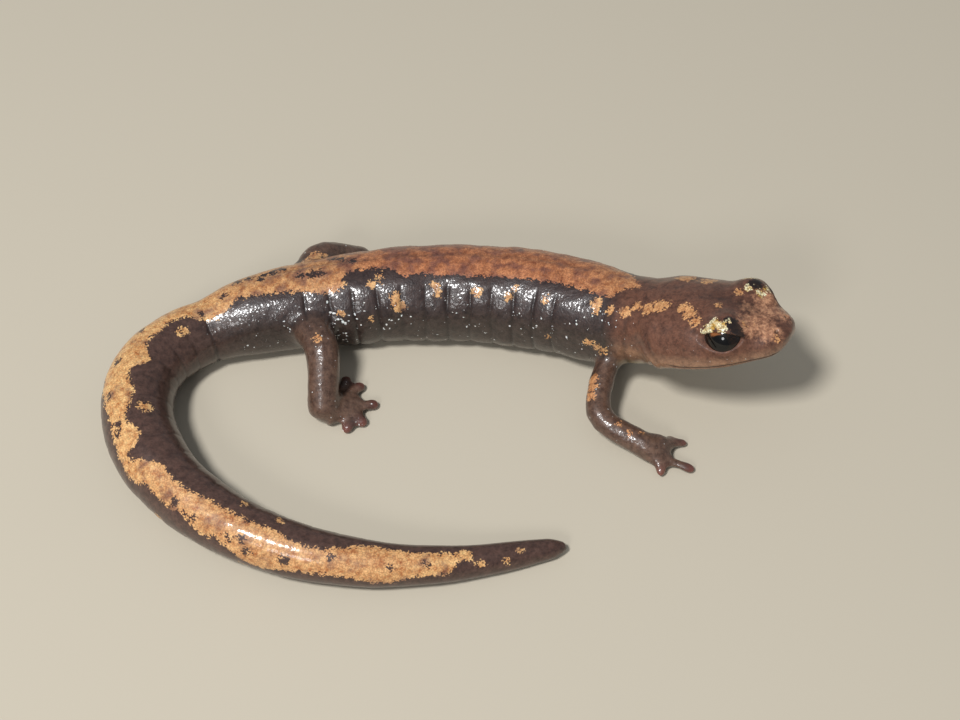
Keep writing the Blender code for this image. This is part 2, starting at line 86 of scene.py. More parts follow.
# %% [markdown]
# ## The line of the body
# Everything on a salamander is placed by how far back it lies along the bent body and how far
# round from the middle of the back. So we first repeat the solids' own stations: distance back
# from the neck, heading, height, half width, half height and roll. Curves through them, with
# slopes that never overshoot, give the body at any distance.
# %% Stations of the body
HEAD_PITCH = 21
NECK_JOINT = (13.4, 0.0)
STATIONS = np.array(
    [
        (0.0, -28, 5.6, 3.9, 3.65, -8),
        (4.5, -27, 4.55, 4.3, 4.05, -2),
        (8.5, -17, 4.15, 4.5, 4.05, 0),
        (15.0, -5, 3.8, 4.4, 3.98, 0),
        (21.5, 4, 3.72, 4.3, 3.9, 0),
        (27.0, 8, 3.52, 4.05, 3.7, -4),
        (31.5, 12, 3.35, 3.75, 3.5, -8),
        (35.5, 17, 3.15, 3.3, 3.25, -16),
        (39.3, 26, 2.65, 2.8, 2.75, -24),
        (43.5, 50, 2.75, 2.9, 2.85, -30),
        (49.0, 90, 2.85, 3.0, 2.95, -35),
        (54.0, 114, 2.85, 3.0, 2.95, -38),
        (60.0, 136, 2.6, 2.72, 2.7, -40),
        (68.0, 156, 2.25, 2.38, 2.35, -40),
        (76.0, 173, 1.85, 1.98, 1.95, -38),
        (83.0, 186, 1.4, 1.52, 1.5, -30),
        (89.5, 194, 1.0, 1.12, 1.05, -20),
        (94.0, 195, 0.7, 0.76, 0.72, -10),
    ]
)
BODY_END = STATIONS[-1, 0]
STEP = 0.25


def profile(at, values, where):
    """A curve through the values that passes each one and never overshoots."""
    steps = np.diff(values) / np.diff(at)
    before, after = steps[:-1], steps[1:]
    rising = before * after > 0
    inner = np.where(rising, 2 * before * after / np.where(rising, before + after, 1), 0)
    slope = np.concatenate([steps[:1], inner, steps[-1:]])
    where = np.clip(where, at[0], at[-1])
    i = np.clip(np.searchsorted(at, where, side="right") - 1, 0, len(at) - 2)
    span = at[i + 1] - at[i]
    t = (where - at[i]) / span
    return (
        (2 * t**3 - 3 * t**2 + 1) * values[i]
        + (t**3 - 2 * t**2 + t) * span * slope[i]
        + (3 * t**2 - 2 * t**3) * values[i + 1]
        + (t**3 - t**2) * span * slope[i + 1]
    )


def curve(table, where):
    """A curve through the rows of a table, each a place and its value."""
    at, values = np.array(table, float).T
    return profile(at, values, where)


def body_value(column, distance):
    return profile(STATIONS[:, 0], STATIONS[:, column], np.asarray(distance, float))


def forward_at(distance):
    """The way the body faces, one unit vector a row."""
    distance = np.atleast_1d(distance).astype(float)
    rise = (body_value(2, distance - STEP / 2) - body_value(2, distance + STEP / 2)) / STEP
    rise = np.where(distance < STEP / 2, math.sin(math.radians(HEAD_PITCH)), rise)
    rise = np.where(distance > BODY_END - STEP / 2, 0, rise)
    heading = np.radians(body_value(1, distance))
    flat = np.sqrt(1 - rise**2)
    return np.stack([np.cos(heading) * flat, np.sin(heading) * flat, rise], axis=1)


print("body from the neck joint to the tail tip:", BODY_END, "mm")

# %% [markdown]
# Walking back along those headings in short steps traces the middle of the body. At each step we
# keep three directions: forward, the animal's left, and up from its belly to its back. The tail
# rolls a little, which is why its stripe shows on the outer side of the bend.
# %% Trace the middle of the body
places = np.arange(0, BODY_END + STEP / 2, STEP)
headings = forward_at(places[:-1] + STEP / 2)
middle = np.zeros((len(places), 3))
middle[0, :2] = NECK_JOINT
middle[1:, :2] = middle[0, :2] - np.cumsum(headings[:, :2] * STEP, axis=0)
middle[:, 2] = body_value(2, places)
ahead = forward_at(places)
level = np.stack([-ahead[:, 1], ahead[:, 0], 0 * places], axis=1)
level /= np.linalg.norm(level, axis=1)[:, None]
roll = np.radians(body_value(5, places))[:, None]
leftward = level * np.cos(roll) + np.cross(ahead, level) * np.sin(roll)
upward = np.cross(ahead, leftward)
print("traced", len(places), "points of the body line")

# %% [markdown]
# ## From the floor to the frame
# The stations count from a point on the floor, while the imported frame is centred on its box. The
# right eye is in both: its place in the head gives where the floor's zero lies in the frame.
# %% Place the body line in the frame
EYE = np.array([10.2, 2.5, 1.12])
GAZE = np.array([0.2, 0.95, 0.22])
GAZE /= np.linalg.norm(GAZE)
EYE_FORWARD = 0.1
LID_RADIUS = 2.02
SIDES = {"right": np.array([1, -1, 1]), "left": np.array([1, 1, 1])}
head_axes = np.stack([ahead[0], leftward[0], upward[0]])


def head_to_frame(point):
    """A place on the head, once the middle line has been moved into the frame."""
    return middle[0] + np.asarray(point) @ head_axes


low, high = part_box("eye_right")
eye_in_frame = np.array((low + high) / 2) / MM
eye_on_floor = head_to_frame((EYE + GAZE * EYE_FORWARD) * SIDES["right"])
SHIFT = eye_in_frame - eye_on_floor
SHIFT[2] = 0
middle += SHIFT
print("floor zero in the frame:", SHIFT.round(3), "mm")

# %% [markdown]
# ## Where the limbs run
# Each limb follows three points on the floor's grid: its joint inside the trunk, the elbow or
# knee, and the wrist or ankle. The knuckles are the middle of the hand or foot, and each digit
# ends at a tip. All are in millimetres and repeat the solids' own numbers.
# %% The limbs
LIMBS = {
    "foreleg_right": {
        "path": ((12.5, 0.6, 4.4), (10.2, -7.6, 2.15), (14.1, -10.55, 1.15)),
        "knuckles": (15.5, -11.05, 0.62),
        "tips": ((16.6, -8.9), (17.8, -9.5), (18.2, -12.5), (15.3, -13.1)),
    },
    "foreleg_left": {
        "path": ((12.0, 1.8, 4.6), (8.4, 8.6, 2.3), (4.2, 9.4, 1.15)),
        "knuckles": (2.9, 9.55, 0.62),
        "tips": ((1.9, 7.6), (0.4, 8.6), (0.2, 10.6), (1.8, 11.5)),
    },
    "hindleg_right": {
        "path": ((-15.8, 2.6, 3.4), (-13.6, -2.6, 4.3), (-13.55, -6.5, 1.4)),
        "knuckles": (-11.5, -5.4, 0.65),
        "tips": ((-11.7, -2.3), (-10.3, -3.1), (-8.9, -5.3), (-10.0, -7.7), (-11.6, -8.4)),
    },
    "hindleg_left": {
        "path": ((-16.3, 2.8, 3.4), (-14.7, 8.6, 3.85), (-11.2, 10.9, 1.4)),
        "knuckles": (-9.3, 10.6, 0.65),
        "tips": ((-9.4, 12.6), (-7.8, 12.1), (-6.8, 10.6), (-7.6, 9.2), (-9.2, 8.5)),
    },
}
WRISTS = [np.array(limb["path"][-1]) + SHIFT for limb in LIMBS.values()]
KNUCKLES = [np.array(limb["knuckles"]) + SHIFT for limb in LIMBS.values()]
TIPS = [np.array((*tip, 0.35)) + SHIFT for limb in LIMBS.values() for tip in limb["tips"]]
print(len(LIMBS), "limbs with", len(TIPS), "digits")

# %% [markdown]
# ## One flesh from many lengths
# The solids stop 0.3 mm short of each other. To close the gaps we copy them, swell every copy by
# a little more than half a gap so that neighbours overlap, and let a voxel remesh melt them into
# one closed surface. Each point moves along its normal, further at a corner, so that whole faces
# move by the same amount and the flat ends overlap too. Balls fill the eye sockets, because the
# lids are carved later, and round out the wrists and the webs of the digits.
# %% Swell and join the lengths
SWELL = 0.2
SHARPEST = 1.5
WRIST_BALL = 1.1
PALM_BALL = 1.0
FINGER_BALL = 0.62
WEB_BALLS = (0.75, 0.75, 1.2, 1.2)
VOXEL = 0.14
FLESH = [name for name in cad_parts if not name.startswith("eye_")]
copies = []
for name in FLESH:
    copy = bpy.data.objects.new("length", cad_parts[name].data.copy())
    bpy.context.scene.collection.objects.link(copy)
    copies.append(copy)
select_only(*copies)
bpy.ops.object.join()
skin = bpy.context.object
skin.name = skin.data.name = "skin"
shape = bmesh.new()
shape.from_mesh(skin.data)
bmesh.ops.remove_doubles(shape, verts=shape.verts, dist=1e-6)
shape.normal_update()
for point in shape.verts:
    point.co += point.normal * SWELL * MM * min(point.calc_shell_factor(), SHARPEST)
shape.to_mesh(skin.data)
shape.free()


def fill_with_ball(place, radius, height=1.0):
    """Joins a ball to the flesh, flattened by its height."""
    bpy.ops.mesh.primitive_uv_sphere_add(
        segments=32, ring_count=16, radius=radius * MM, location=place * MM, scale=(1, 1, height)
    )
    ball = bpy.context.object
    select_only(skin, ball)
    bpy.ops.object.join()


for side in SIDES.values():
    fill_with_ball(head_to_frame(EYE * side), LID_RADIUS + SWELL + 0.01)
for wrist, palm, web in zip(WRISTS, KNUCKLES, WEB_BALLS):
    fill_with_ball(wrist * 0.8 + palm * 0.2, WRIST_BALL + SWELL)
    fill_with_ball(wrist * 0.45 + palm * 0.55, PALM_BALL + SWELL, 0.8)
    fill_with_ball(palm, web + SWELL, 0.5)
for name in ("foreleg_right", "foreleg_left"):
    limb = LIMBS[name]
    outer = np.array((*limb["tips"][1], 0.5)) + SHIFT
    wrist = np.array(limb["path"][-1]) + SHIFT
    fill_with_ball(wrist * 0.5 + outer * 0.5, FINGER_BALL + SWELL, 0.85)
    fill_with_ball(wrist * 0.75 + outer * 0.25, WRIST_BALL - 0.1 + SWELL)
print("joined", len(copies), "lengths:", len(skin.data.vertices), "points")

# %% [markdown]
# A voxel remesh drapes one even mesh over everything that overlaps, so the joints between the
# copies vanish. Its voxels are about half a gap wide, fine enough for fingers and lids.
# %% Melt them into one surface
remesh = skin.modifiers.new("melt", "REMESH")
remesh.mode = "VOXEL"
remesh.voxel_size = VOXEL * MM
remesh.adaptivity = 0
select_only(skin)
bpy.ops.object.modifier_apply(modifier=remesh.name)
print("melted skin:", len(skin.data.vertices), "points")

# %% [markdown]
# ## Reading and writing the points
# From here on we sculpt in code: all points of the skin are read as one array in millimetres,
# moved by formulas and written back. The relax function smooths by moving each point towards the
# mean of its neighbours and then a little way back, which keeps the volume.
# %% Sculpting helpers


def read_points(obj):
    points = np.empty(len(obj.data.vertices) * 3, np.float32)
    obj.data.vertices.foreach_get("co", points)
    return points.reshape(-1, 3).astype(float) / MM


def write_points(obj, points):
    obj.data.vertices.foreach_set("co", (points * MM).astype(np.float32).ravel())
    obj.data.update()


def read_normals(obj):
    normals = np.empty(len(obj.data.vertices) * 3, np.float32)
    obj.data.vertex_normals.foreach_get("vector", normals)
    return normals.reshape(-1, 3).astype(float)


def read_edges(obj):
    edges = np.empty(len(obj.data.edges) * 2, np.int32)
    obj.data.edges.foreach_get("vertices", edges)
    return edges.reshape(-1, 2)


def relax(points, edges, rounds, give=0.5, take=-0.53, share=None):
    """Smooths the points. A share of 0 to 1 a point limits how far each one takes part."""
    a, b = edges.T
    count = len(points)
    neighbours = np.maximum(np.bincount(a, minlength=count) + np.bincount(b, minlength=count), 1)
    for turn in range(rounds * 2):
        strength = give if turn % 2 == 0 else take
        if strength == 0:
            continue
        total = np.stack(
            [
                np.bincount(a, points[b, k], count) + np.bincount(b, points[a, k], count)
                for k in range(3)
            ],
            axis=1,
        )
        move = total / neighbours[:, None] - points
        points = points + move * strength * (1 if share is None else share[:, None])
    return points


def step_up(value, start, end):
    """Goes smoothly from 0 at the start to 1 at the end."""
    t = np.clip((value - start) / (end - start), 0, 1)
    return t * t * (3 - 2 * t)


def ridge(value, width):
    """1 on a line and fading to 0 about two widths away from it."""
    return np.exp(-((value / width) ** 2))


print("skin reaches", read_points(skin).max(axis=0).round(1), "mm")

# %% [markdown]
# ## Where each point lies on the animal
# For each point of the skin we look up the nearest step of the body line and note three things:
# how far back it is, the angle round from the middle of the back, and how far out it is, where 1
# is the side of the trunk. Points far out belong to limbs. The head has its own coordinates.
# %% Coordinates on the body


def body_place(points):
    """Distance back, angle from the mid-back, left being plus, and reach, 1 at the side."""
    nearest = np.empty(len(points), int)
    coarse = middle[::2]
    for start in range(0, len(points), 20000):
        block = points[start : start + 20000]
        away = ((block[:, None, :] - coarse[None]) ** 2).sum(axis=2)
        nearest[start : start + 20000] = away.argmin(axis=1) * 2
    along = places[nearest] - ((points - middle[nearest]) * ahead[nearest]).sum(axis=1)
    at = np.clip(along, 0, BODY_END)
    index = np.clip((at / STEP).round().astype(int), 0, len(places) - 1)
    offset = points - middle[index]
    across = (offset * leftward[index]).sum(axis=1) / body_value(3, at)
    up = (offset * upward[index]).sum(axis=1) / body_value(4, at)
    return along, np.arctan2(across, up), np.hypot(across, up)


def head_place(points):
    """The head's own coordinates: forward from the neck joint, left and up."""
    return (points - middle[0]) @ head_axes.T


def fold_over(where):
    """Places on the head with its right half laid over the left one."""
    return np.stack([where[:, 0], np.abs(where[:, 1]), where[:, 2]], axis=1)


def off_trunk(reach):
    """0 on the trunk and tail, and 1 on limbs and hips that stand out from them."""
    return step_up(reach, 1.12, 1.3)


print("wrists lie", body_place(np.array(WRISTS))[0].round(1), "mm back")

# %% [markdown]
# ## How close a point is to a limb
# A limb is three straight runs, the last one through the hand. The distance from the nearest run
# tells limbs from the trunk, so that their roots can be softened and their skin coloured.
# %% Distance from the limbs


def to_line(points, start, end):
    """Distance of each point from a straight line between two places."""
    start, end = np.asarray(start) + SHIFT, np.asarray(end) + SHIFT
    way = end - start
    along = np.clip((points - start) @ way / (way @ way), 0, 1)
    return np.linalg.norm(points - start - along[:, None] * way, axis=1)


def limb_distance(points):
    """Distance from the nearest limb line, hands and feet included."""
    lines = []
    for limb in LIMBS.values():
        route = (*limb["path"], limb["knuckles"])
        lines += list(zip(route, route[1:]))
    return np.min([to_line(points, start, end) for start, end in lines], axis=0)


print("tips to knuckles at most", limb_distance(np.array(TIPS)).max().round(1), "mm")

# %% [markdown]
# ## Smooth flesh
# The melted surface still shows the solids' facets. A few rounds of relaxing remove them from
# everything, and many more from the trunk and head, whose solids turn a little too sharply at
# mid-flank. Limb roots and wrists are softened into folds. The mouth is smoothed shut, since a
# finer line is cut later, and so is the step under each eye. Relaxing shrinks a round body
# slightly, so that much less of the swelling is taken back at the end.
# %% Smooth the flesh and take back the swelling
MOUTH_CORNER = 5.4
FINE_LOSS = 0.03
TRUNK_LOSS = 0.05
DIGIT_LOSS = 0.05
FINE_ROUNDS = 10
TRUNK_ROUNDS = 60
ROOT_ROUNDS = 36
LIP_ROUNDS = 60
LAST_ROUNDS = 3
UNDER_EYE_RADIUS = 2.4
MOUTH_LINE = (
    (0.0, 0.0), (2.0, -0.1), (4.0, -0.45), (7.2, -0.65), (9.8, -0.55), (11.6, -0.45),
    (13.0, -0.4), (14.8, -0.35),
)


def mouth_height(x):
    """Height of the solid's mouth line in the head's own coordinates."""
    return curve(MOUTH_LINE, x)


def nearest_of(points, places):
    """Distance from the nearest of a few places."""
    return np.min([np.linalg.norm(points - place, axis=1) for place in places], axis=0)


edges = read_edges(skin)
points = relax(read_points(skin), edges, FINE_ROUNDS, take=0)
points = relax(points, edges, FINE_ROUNDS)
along, angle, reach = body_place(points)
from_limb = limb_distance(points)
trunk = (1 - step_up(reach, 1.1, 1.2)) * step_up(along, -3, 0) * (1 - step_up(along, 68, 82))
trunk *= step_up(from_limb, 2.0, 3.0)
on_skull = 0.35 * step_up(head_place(points)[:, 0], -1, 1)
points = relax(points, edges, TRUNK_ROUNDS, take=0, share=np.maximum(trunk, on_skull))
roots = (1 - step_up(from_limb, 2.2, 3.4)) * step_up(reach, 0.9, 1.05)
roots *= (1 - step_up(reach, 1.35, 1.6)) * ((along > 0) & (along < 36))
wrists = ridge(nearest_of(points, WRISTS), 1.6)
digits = ridge(nearest_of(points, TIPS), 1.6)
points = relax(points, edges, ROOT_ROUNDS, take=0, share=np.maximum(roots, wrists) * 0.9)
where = head_place(points)
lips = ridge(where[:, 2] - mouth_height(where[:, 0]), 0.6) * step_up(where[:, 0], 4, 5)
lips *= points[:, 2] > 0.5
eyes = [head_to_frame(EYE * side) for side in SIDES.values()]
under_eye = ridge(nearest_of(points, eyes) - UNDER_EYE_RADIUS, 0.55)
under_eye *= step_up(EYE[2] - where[:, 2], -0.3, 0.5) * step_up(where[:, 0], 5, 6)
points = relax(points, edges, LIP_ROUNDS, take=0, share=np.maximum(lips, under_eye))
write_points(skin, points)
loss = FINE_LOSS + TRUNK_LOSS * trunk + DIGIT_LOSS * digits
points -= read_normals(skin) * (SWELL - loss)[:, None]
points = relax(points, edges, LAST_ROUNDS)
points[:, 2] = np.maximum(points[:, 2], 0.0)
write_points(skin, points)
print("flesh box:", points.min(axis=0).round(2), points.max(axis=0).round(2), "mm")

# %% [markdown]
# ## Finer mesh on the face
# Lids, nostrils and lips need smaller faces than the trunk does. We select the mesh faces round
# them by place and subdivide those once.
# %% Subdivide the face
NOSTRIL = np.array([14.1, 1.05, 0.95])
LIP_DROP = 0.3


def lip_height(x):
    """Height of the finer line of the lips, which lies a little under the solid's."""
    return mouth_height(x) - LIP_DROP


def near_face_detail(where):
    """True where a point of the head is close to an eye, a nostril or the mouth."""
    mirrored = fold_over(where)
    to_eye = np.linalg.norm(mirrored - (EYE + GAZE * LID_RADIUS), axis=1)
    to_nostril = np.linalg.norm(mirrored - NOSTRIL, axis=1)
    to_mouth = np.abs(where[:, 2] - lip_height(where[:, 0]))
    mouth = (to_mouth < 0.4) & (where[:, 0] > MOUTH_CORNER - 1) & (np.abs(where[:, 1]) > 1.4)
    return (to_eye < 2.5) | (to_nostril < 0.9) | mouth


def subdivide_where(obj, chosen):
    """Selects the faces whose corners are all chosen and splits them in four."""
    bpy.ops.object.mode_set(mode="EDIT")
    bpy.ops.mesh.select_mode(type="VERT")
    bpy.ops.mesh.select_all(action="DESELECT")
    bpy.ops.object.mode_set(mode="OBJECT")
    obj.data.vertices.foreach_set("select", chosen)
    bpy.ops.object.mode_set(mode="EDIT")
    bpy.ops.mesh.select_mode(type="FACE")
    bpy.ops.mesh.subdivide(number_cuts=1)
    bpy.ops.object.mode_set(mode="OBJECT")


where = head_place(read_points(skin))
subdivide_where(skin, near_face_detail(where) & (where[:, 0] > 3))
print("skin with a finer face:", len(skin.data.vertices), "points")

# %% [markdown]
# ## Folds of the trunk and tail
# Between arm and leg the flank is pinched by costal grooves, one for each rib. Weaker rings
# follow down the tail, and a deeper one marks where the tail would part from the body. They are
# lines at fixed distances back, a little wavy and uneven in depth like real skin.
# %% Costal grooves and tail rings
FIRST_GROOVE = 6.4
GROOVE_SPACING = 2.16
GROOVES = 12
TAIL_CREASE = 39.3
TAIL_GROOVES = 17


def body_folds(along, angle, reach):
    """How far the folds of the trunk and tail move each point out, in millimetres."""
    trunk = step_up(along, 3, 6) * (1 - off_trunk(reach))
    side = np.abs(angle)
    first = np.where(angle > 0, 1.0, 0.45)
    flank = step_up(side - first, 0, 0.3) * (1 - 0.6 * step_up(side, 2.3, 2.9))
    wave = 0.06 * np.sin(2.6 * angle + 0.9) + 0.03 * np.sin(7 * angle)
    depths = np.random.default_rng(11).uniform(0.55, 1.1, GROOVES)
    out = np.zeros(len(along))
    for i, depth in enumerate(depths):
        off = along + wave * (1 if i % 2 else -0.7) - (FIRST_GROOVE + i * GROOVE_SPACING)
        out -= flank * depth * (0.12 * ridge(off, 0.13) + 0.045 * ridge(off, 0.45))
    for i in range(TAIL_GROOVES):
        off = along + wave - (TAIL_CREASE + i * GROOVE_SPACING * 1.1)
        depth = 0.16 if i == 0 else 0.06 * (1 - 0.8 * i / TAIL_GROOVES)
        out -= step_up(side, 0.3, 1.2) * depth * ridge(off, 0.16)
    spine = ridge((angle - 0.2) * 4.2, 0.28) * step_up(along, 1, 4)
    spine *= 1 - step_up(along, 30, 38)
    return (out - 0.05 * spine) * trunk


points = read_points(skin)
along, angle, reach = body_place(points)
points += read_normals(skin) * body_folds(along, angle, reach)[:, None]
write_points(skin, points)
print("grooves every", GROOVE_SPACING, "mm from", FIRST_GROOVE, "mm back")

# %% [markdown]
# ## Skin that isn't perfectly even
# Real skin sags and puckers. Sums of a few slow waves in seeded directions, added along the
# normals, keep any side from looking turned on a lathe. Short waves that run along the body make
# the fine cross wrinkles of neck, flank and tail.
# %% Uneven skin


def waves(points, length, seed, count=7):
    """A smooth random field between about -1 and 1, made of plane waves of one length."""
    draw = np.random.default_rng(seed)
    ways = draw.normal(size=(count, 3))
    ways /= np.linalg.norm(ways, axis=1)[:, None]
    phases = draw.uniform(0, 2 * math.pi, count)
    lengths = length * draw.uniform(0.7, 1.4, count)
    return sum(
        np.sin(points @ way * 2 * math.pi / size + phase)
        for way, size, phase in zip(ways, lengths, phases)
    ) / math.sqrt(count)


def unevenness(points, along, angle, reach):
    """Low lumps everywhere, and fine wrinkles across the neck, flanks and tail."""
    lumps = 0.04 * waves(points, 4.5, 1) + 0.014 * waves(points, 1.3, 2)
    body = step_up(along, -1.5, 1.5) * (1 - step_up(reach, 1.1, 1.3))
    wrinkle = np.sin(2 * math.pi * (along + 0.25 * waves(points, 2.2, 3)) / 0.55)
    amount = 0.012 * step_up(waves(points, 2.6, 4), -0.4, 1.2) * step_up(np.abs(angle), 0.5, 1.1)
    slender = np.clip(body_value(3, along) / 3.5, 0.25, 1)
    return (lumps + wrinkle * amount * body) * slender


points += read_normals(skin) * unevenness(points, along, angle, reach)[:, None]
write_points(skin, points)
print("unevenness added")

# %% [markdown]
# ## Mouth, nostrils and throat
# The mouth is a fine line low on the side of the head, with the upper lip slightly over the jaw.
# Lungless salamanders also have a hairline groove from each nostril down to the lip. A fold
# crosses the throat, and shallow creases run behind the jaw.
# %% Mouth, nostrils and throat folds


def face_folds(where, normals):
    """How far the folds of the face move each point out, in millimetres."""
    x, y, z = where.T
    side = np.abs(y)
    lip = z - lip_height(x)
    shut = step_up(x, MOUTH_CORNER - 0.5, MOUTH_CORNER + 0.6)
    out = -0.15 * ridge(lip, 0.09) * shut
    out += 0.035 * ridge(lip - 0.3, 0.24) * shut
    out -= 0.05 * step_up(-lip, 0.05, 0.3) * (1 - step_up(-lip, 0.6, 1.1)) * shut
    nostril = np.hypot(np.hypot(x - NOSTRIL[0], side - NOSTRIL[1]), z - NOSTRIL[2])
    out -= 0.28 * ridge(nostril, 0.15)
    out += 0.04 * ridge(nostril - 0.34, 0.14)
    below = NOSTRIL[2] - z
    lip_groove = ridge(x - (NOSTRIL[0] - 0.06 * below), 0.08) * step_up(below, 0.2, 0.4)
    out -= 0.04 * lip_groove * (1 - step_up(-lip, -0.1, 0.05))
    throat = step_up(-z, 0.3, 1.4)
    out -= 0.16 * ridge(x - 2.6 - 0.25 * side, 0.2) * throat
    out += 0.08 * ridge(x - 3.3 - 0.25 * side, 0.4) * throat
    neck = step_up(side, 1.6, 3)
    for place, lean in ((1.0, 0.25), (-1.2, 0.2), (4.3, -0.35)):
        out -= 0.06 * ridge(x - place - lean * z, 0.22) * neck * (1 - 0.8 * step_up(z, 1.2, 2.6))
    crown = step_up(normals[:, 2], 0.4, 0.8)
    out -= 0.08 * ridge(y, 0.8) * crown * step_up(x, 6, 9) * (1 - step_up(x, 11.5, 13.5))
    return out * step_up(x, -3.5, -2) * (1 - step_up(side, 5.3, 6.0)) * (z > -4)


points = read_points(skin)
where = head_place(points)
normals = read_normals(skin)
points += normals * face_folds(where, normals @ head_axes.T)[:, None]
write_points(skin, points)
print("mouth corner", MOUTH_CORNER, "mm ahead of the neck joint")

# %% [markdown]
# ## Lids
# The eye opening is an almond in the dome over the eyeball: nearly straight above, deeply curved
# below. On the dome we measure how far each point is from the almond's edge. Points inside it
# sink below the eyeball's surface, the edge itself is rounded over, a thin rim swells round it
# and a fine crease follows outside. That gives real lids with the eyeball showing between.
# %% Carve the lids
EYEBALL_RADIUS = 1.8
PUPIL_RADIUS = 0.8
OPENING_HALF_LENGTH = 1.97
OPENING_TILT = math.radians(-4)
UPPER_MARGIN = 0.42
LOWER_MARGIN = 1.42
MARGIN_HEIGHT = 0.6
SUNK_RADIUS = 1.45


def eye_axes(side):
    """Gaze, forward and up directions of one eye, in the head's coordinates."""
    gaze = GAZE * side
    onward = np.array([1.0, 0, 0]) - gaze[0] * gaze
    onward /= np.linalg.norm(onward)
    over = np.array([0, 0, 1.0]) - gaze[2] * gaze - onward[2] * onward
    over /= np.linalg.norm(over)
    return gaze, onward, over


def opening_depth(u, v):
    """Distance in from the edge of the eye opening, minus outside it."""
    u, v = (
        u * math.cos(OPENING_TILT) + v * math.sin(OPENING_TILT),
        v * math.cos(OPENING_TILT) - u * math.sin(OPENING_TILT),
    )

    def inside(u, v):
        height = np.where(v > MARGIN_HEIGHT, UPPER_MARGIN, LOWER_MARGIN)
        rest = np.abs((v - MARGIN_HEIGHT) / height) ** 2
        return 1 - np.abs(u / OPENING_HALF_LENGTH) ** 2.3 - rest

    small = 0.01
    slope_u = (inside(u + small, v) - inside(u - small, v)) / (2 * small)
    slope_v = (inside(u, v + small) - inside(u, v - small)) / (2 * small)
    return inside(u, v) / np.maximum(np.hypot(slope_u, slope_v), 0.6)


def carve_lids(where, side):
    """Moves the head's points round one eye."""
    gaze, onward, over = eye_axes(side)
    offset = where - EYE * side
    radius = np.linalg.norm(offset, axis=1)
    facing = offset @ gaze / radius
    close = (facing > 0.1) & (radius < 3.1)
    offset, radius = offset[close], radius[close]
    u = np.arctan2(offset @ onward, offset @ gaze) * LID_RADIUS
    v = np.arctan2(offset @ over, offset @ gaze) * LID_RADIUS
    depth = opening_depth(u, v)
    above = step_up(v, 0.3, 0.9)
    outer = (0.015 + 0.035 * above) * ridge(depth + 0.2, 0.15)
    outer += 0.05 * ridge(depth + 0.65, 0.4) * above
    outer -= 0.025 * ridge(depth + 0.6, 0.22) * (1 - above)
    outer -= 0.03 * ridge(depth + 1.25, 0.2) * above
    furrow = ridge(v - 0.25 - 0.12 * (u - 1.7), 0.16) * step_up(u, 1.6, 1.9)
    outer -= 0.08 * furrow * (1 - step_up(u, 2.4, 3.2))
    outer = radius + outer * (1 - step_up(radius, 2.4, 3.0))
    t = np.clip((depth + 0.1) / 0.17, 0, 1)
    radius_new = SUNK_RADIUS + (outer - SUNK_RADIUS) * np.sqrt(1 - t * t)
    moved = where.copy()
    moved[close] = EYE * side + offset * (radius_new / radius)[:, None]
    return moved


points = read_points(skin)
where = head_place(points)
for side in SIDES.values():
    where = carve_lids(where, side)
points = where @ head_axes + middle[0]
write_points(skin, points)
opening_height = round(UPPER_MARGIN + LOWER_MARGIN, 2)
print("eye opening:", OPENING_HALF_LENGTH * 2, "by", opening_height, "mm")

# %% [markdown]
# ## Keep the floor, then thin the mesh
# Nothing may reach below the floor, so the underside is flattened there. The skin is then thinned
# by collapsing edges, which takes faces from smooth flesh and leaves them on lids and grooves.
# %% Thin the mesh
MOST_TRIANGLES = 192000


def flatten_at_floor(obj):
    points = read_points(obj)
    points[:, 2] = np.maximum(points[:, 2], 0.0)
    write_points(obj, points)


flatten_at_floor(skin)
triangles = sum(len(face.vertices) - 2 for face in skin.data.polygons)
if triangles > MOST_TRIANGLES:
    thin = skin.modifiers.new("thin", "DECIMATE")
    thin.ratio = MOST_TRIANGLES / triangles
    select_only(skin)
    bpy.ops.object.modifier_apply(modifier=thin.name)
flatten_at_floor(skin)
select_only(skin)
bpy.ops.object.shade_smooth()
print("skin:", triangles, "triangles before,", len(skin.data.polygons), "faces after")

# %% [markdown]
# ## Markings as numbers on the points
# The markings follow the body and not the room, so each point of the skin stores how far inside a
# marking it lies, in millimetres. The material later adds fine noise to that number and paints
# where it is above zero, which gives edges as ragged and crisp as on the animal.
# The stripe runs from the back of the head almost to the tail tip. Its two edges are given in
# millimetres round from the middle of the back: the right one was read from the photo, the left
# one too where it shows on the tail.
# %% Edges of the stripe
RIGHT_EDGE = (
    (-2.2, -0.6), (-1.2, 0.3), (0.3, 1.1), (0.9, 1.8), (1.9, 1.9), (3.6, 1.5), (6.3, 1.45),
    (9.5, 1.42), (13.3, 1.56), (17.0, 1.56), (20.0, 1.3), (21.2, 1.5), (22.4, 0.5),
    (24.5, 0.4), (26.2, 0.6), (27.0, 2.3), (28.0, 2.5), (30.2, 1.95), (33.0, 1.7),
    (35.6, 1.5), (37.3, 2.4), (39.4, 2.2), (40.3, 1.6), (41.4, 1.2), (42.5, 1.2),
    (43.8, 1.6), (44.7, 1.45), (46.0, 2.05), (46.8, 2.85), (47.6, 2.6), (48.1, 1.7),
    (48.9, 1.5), (50.4, 2.05), (52.2, 1.65), (53.4, 1.0), (55.2, 1.75), (56.0, 0.8),
    (56.6, 0.3), (57.4, 0.7), (58.9, 1.6), (60.6, 1.3), (64.3, 1.6), (69.4, 1.5),
    (72.3, 0.85), (73.3, 0.75), (76.0, 1.4), (78.0, 1.65), (79.2, 1.4), (81.4, 1.0),
    (84.0, 0.75), (84.9, -0.4), (94.0, -0.5),
)
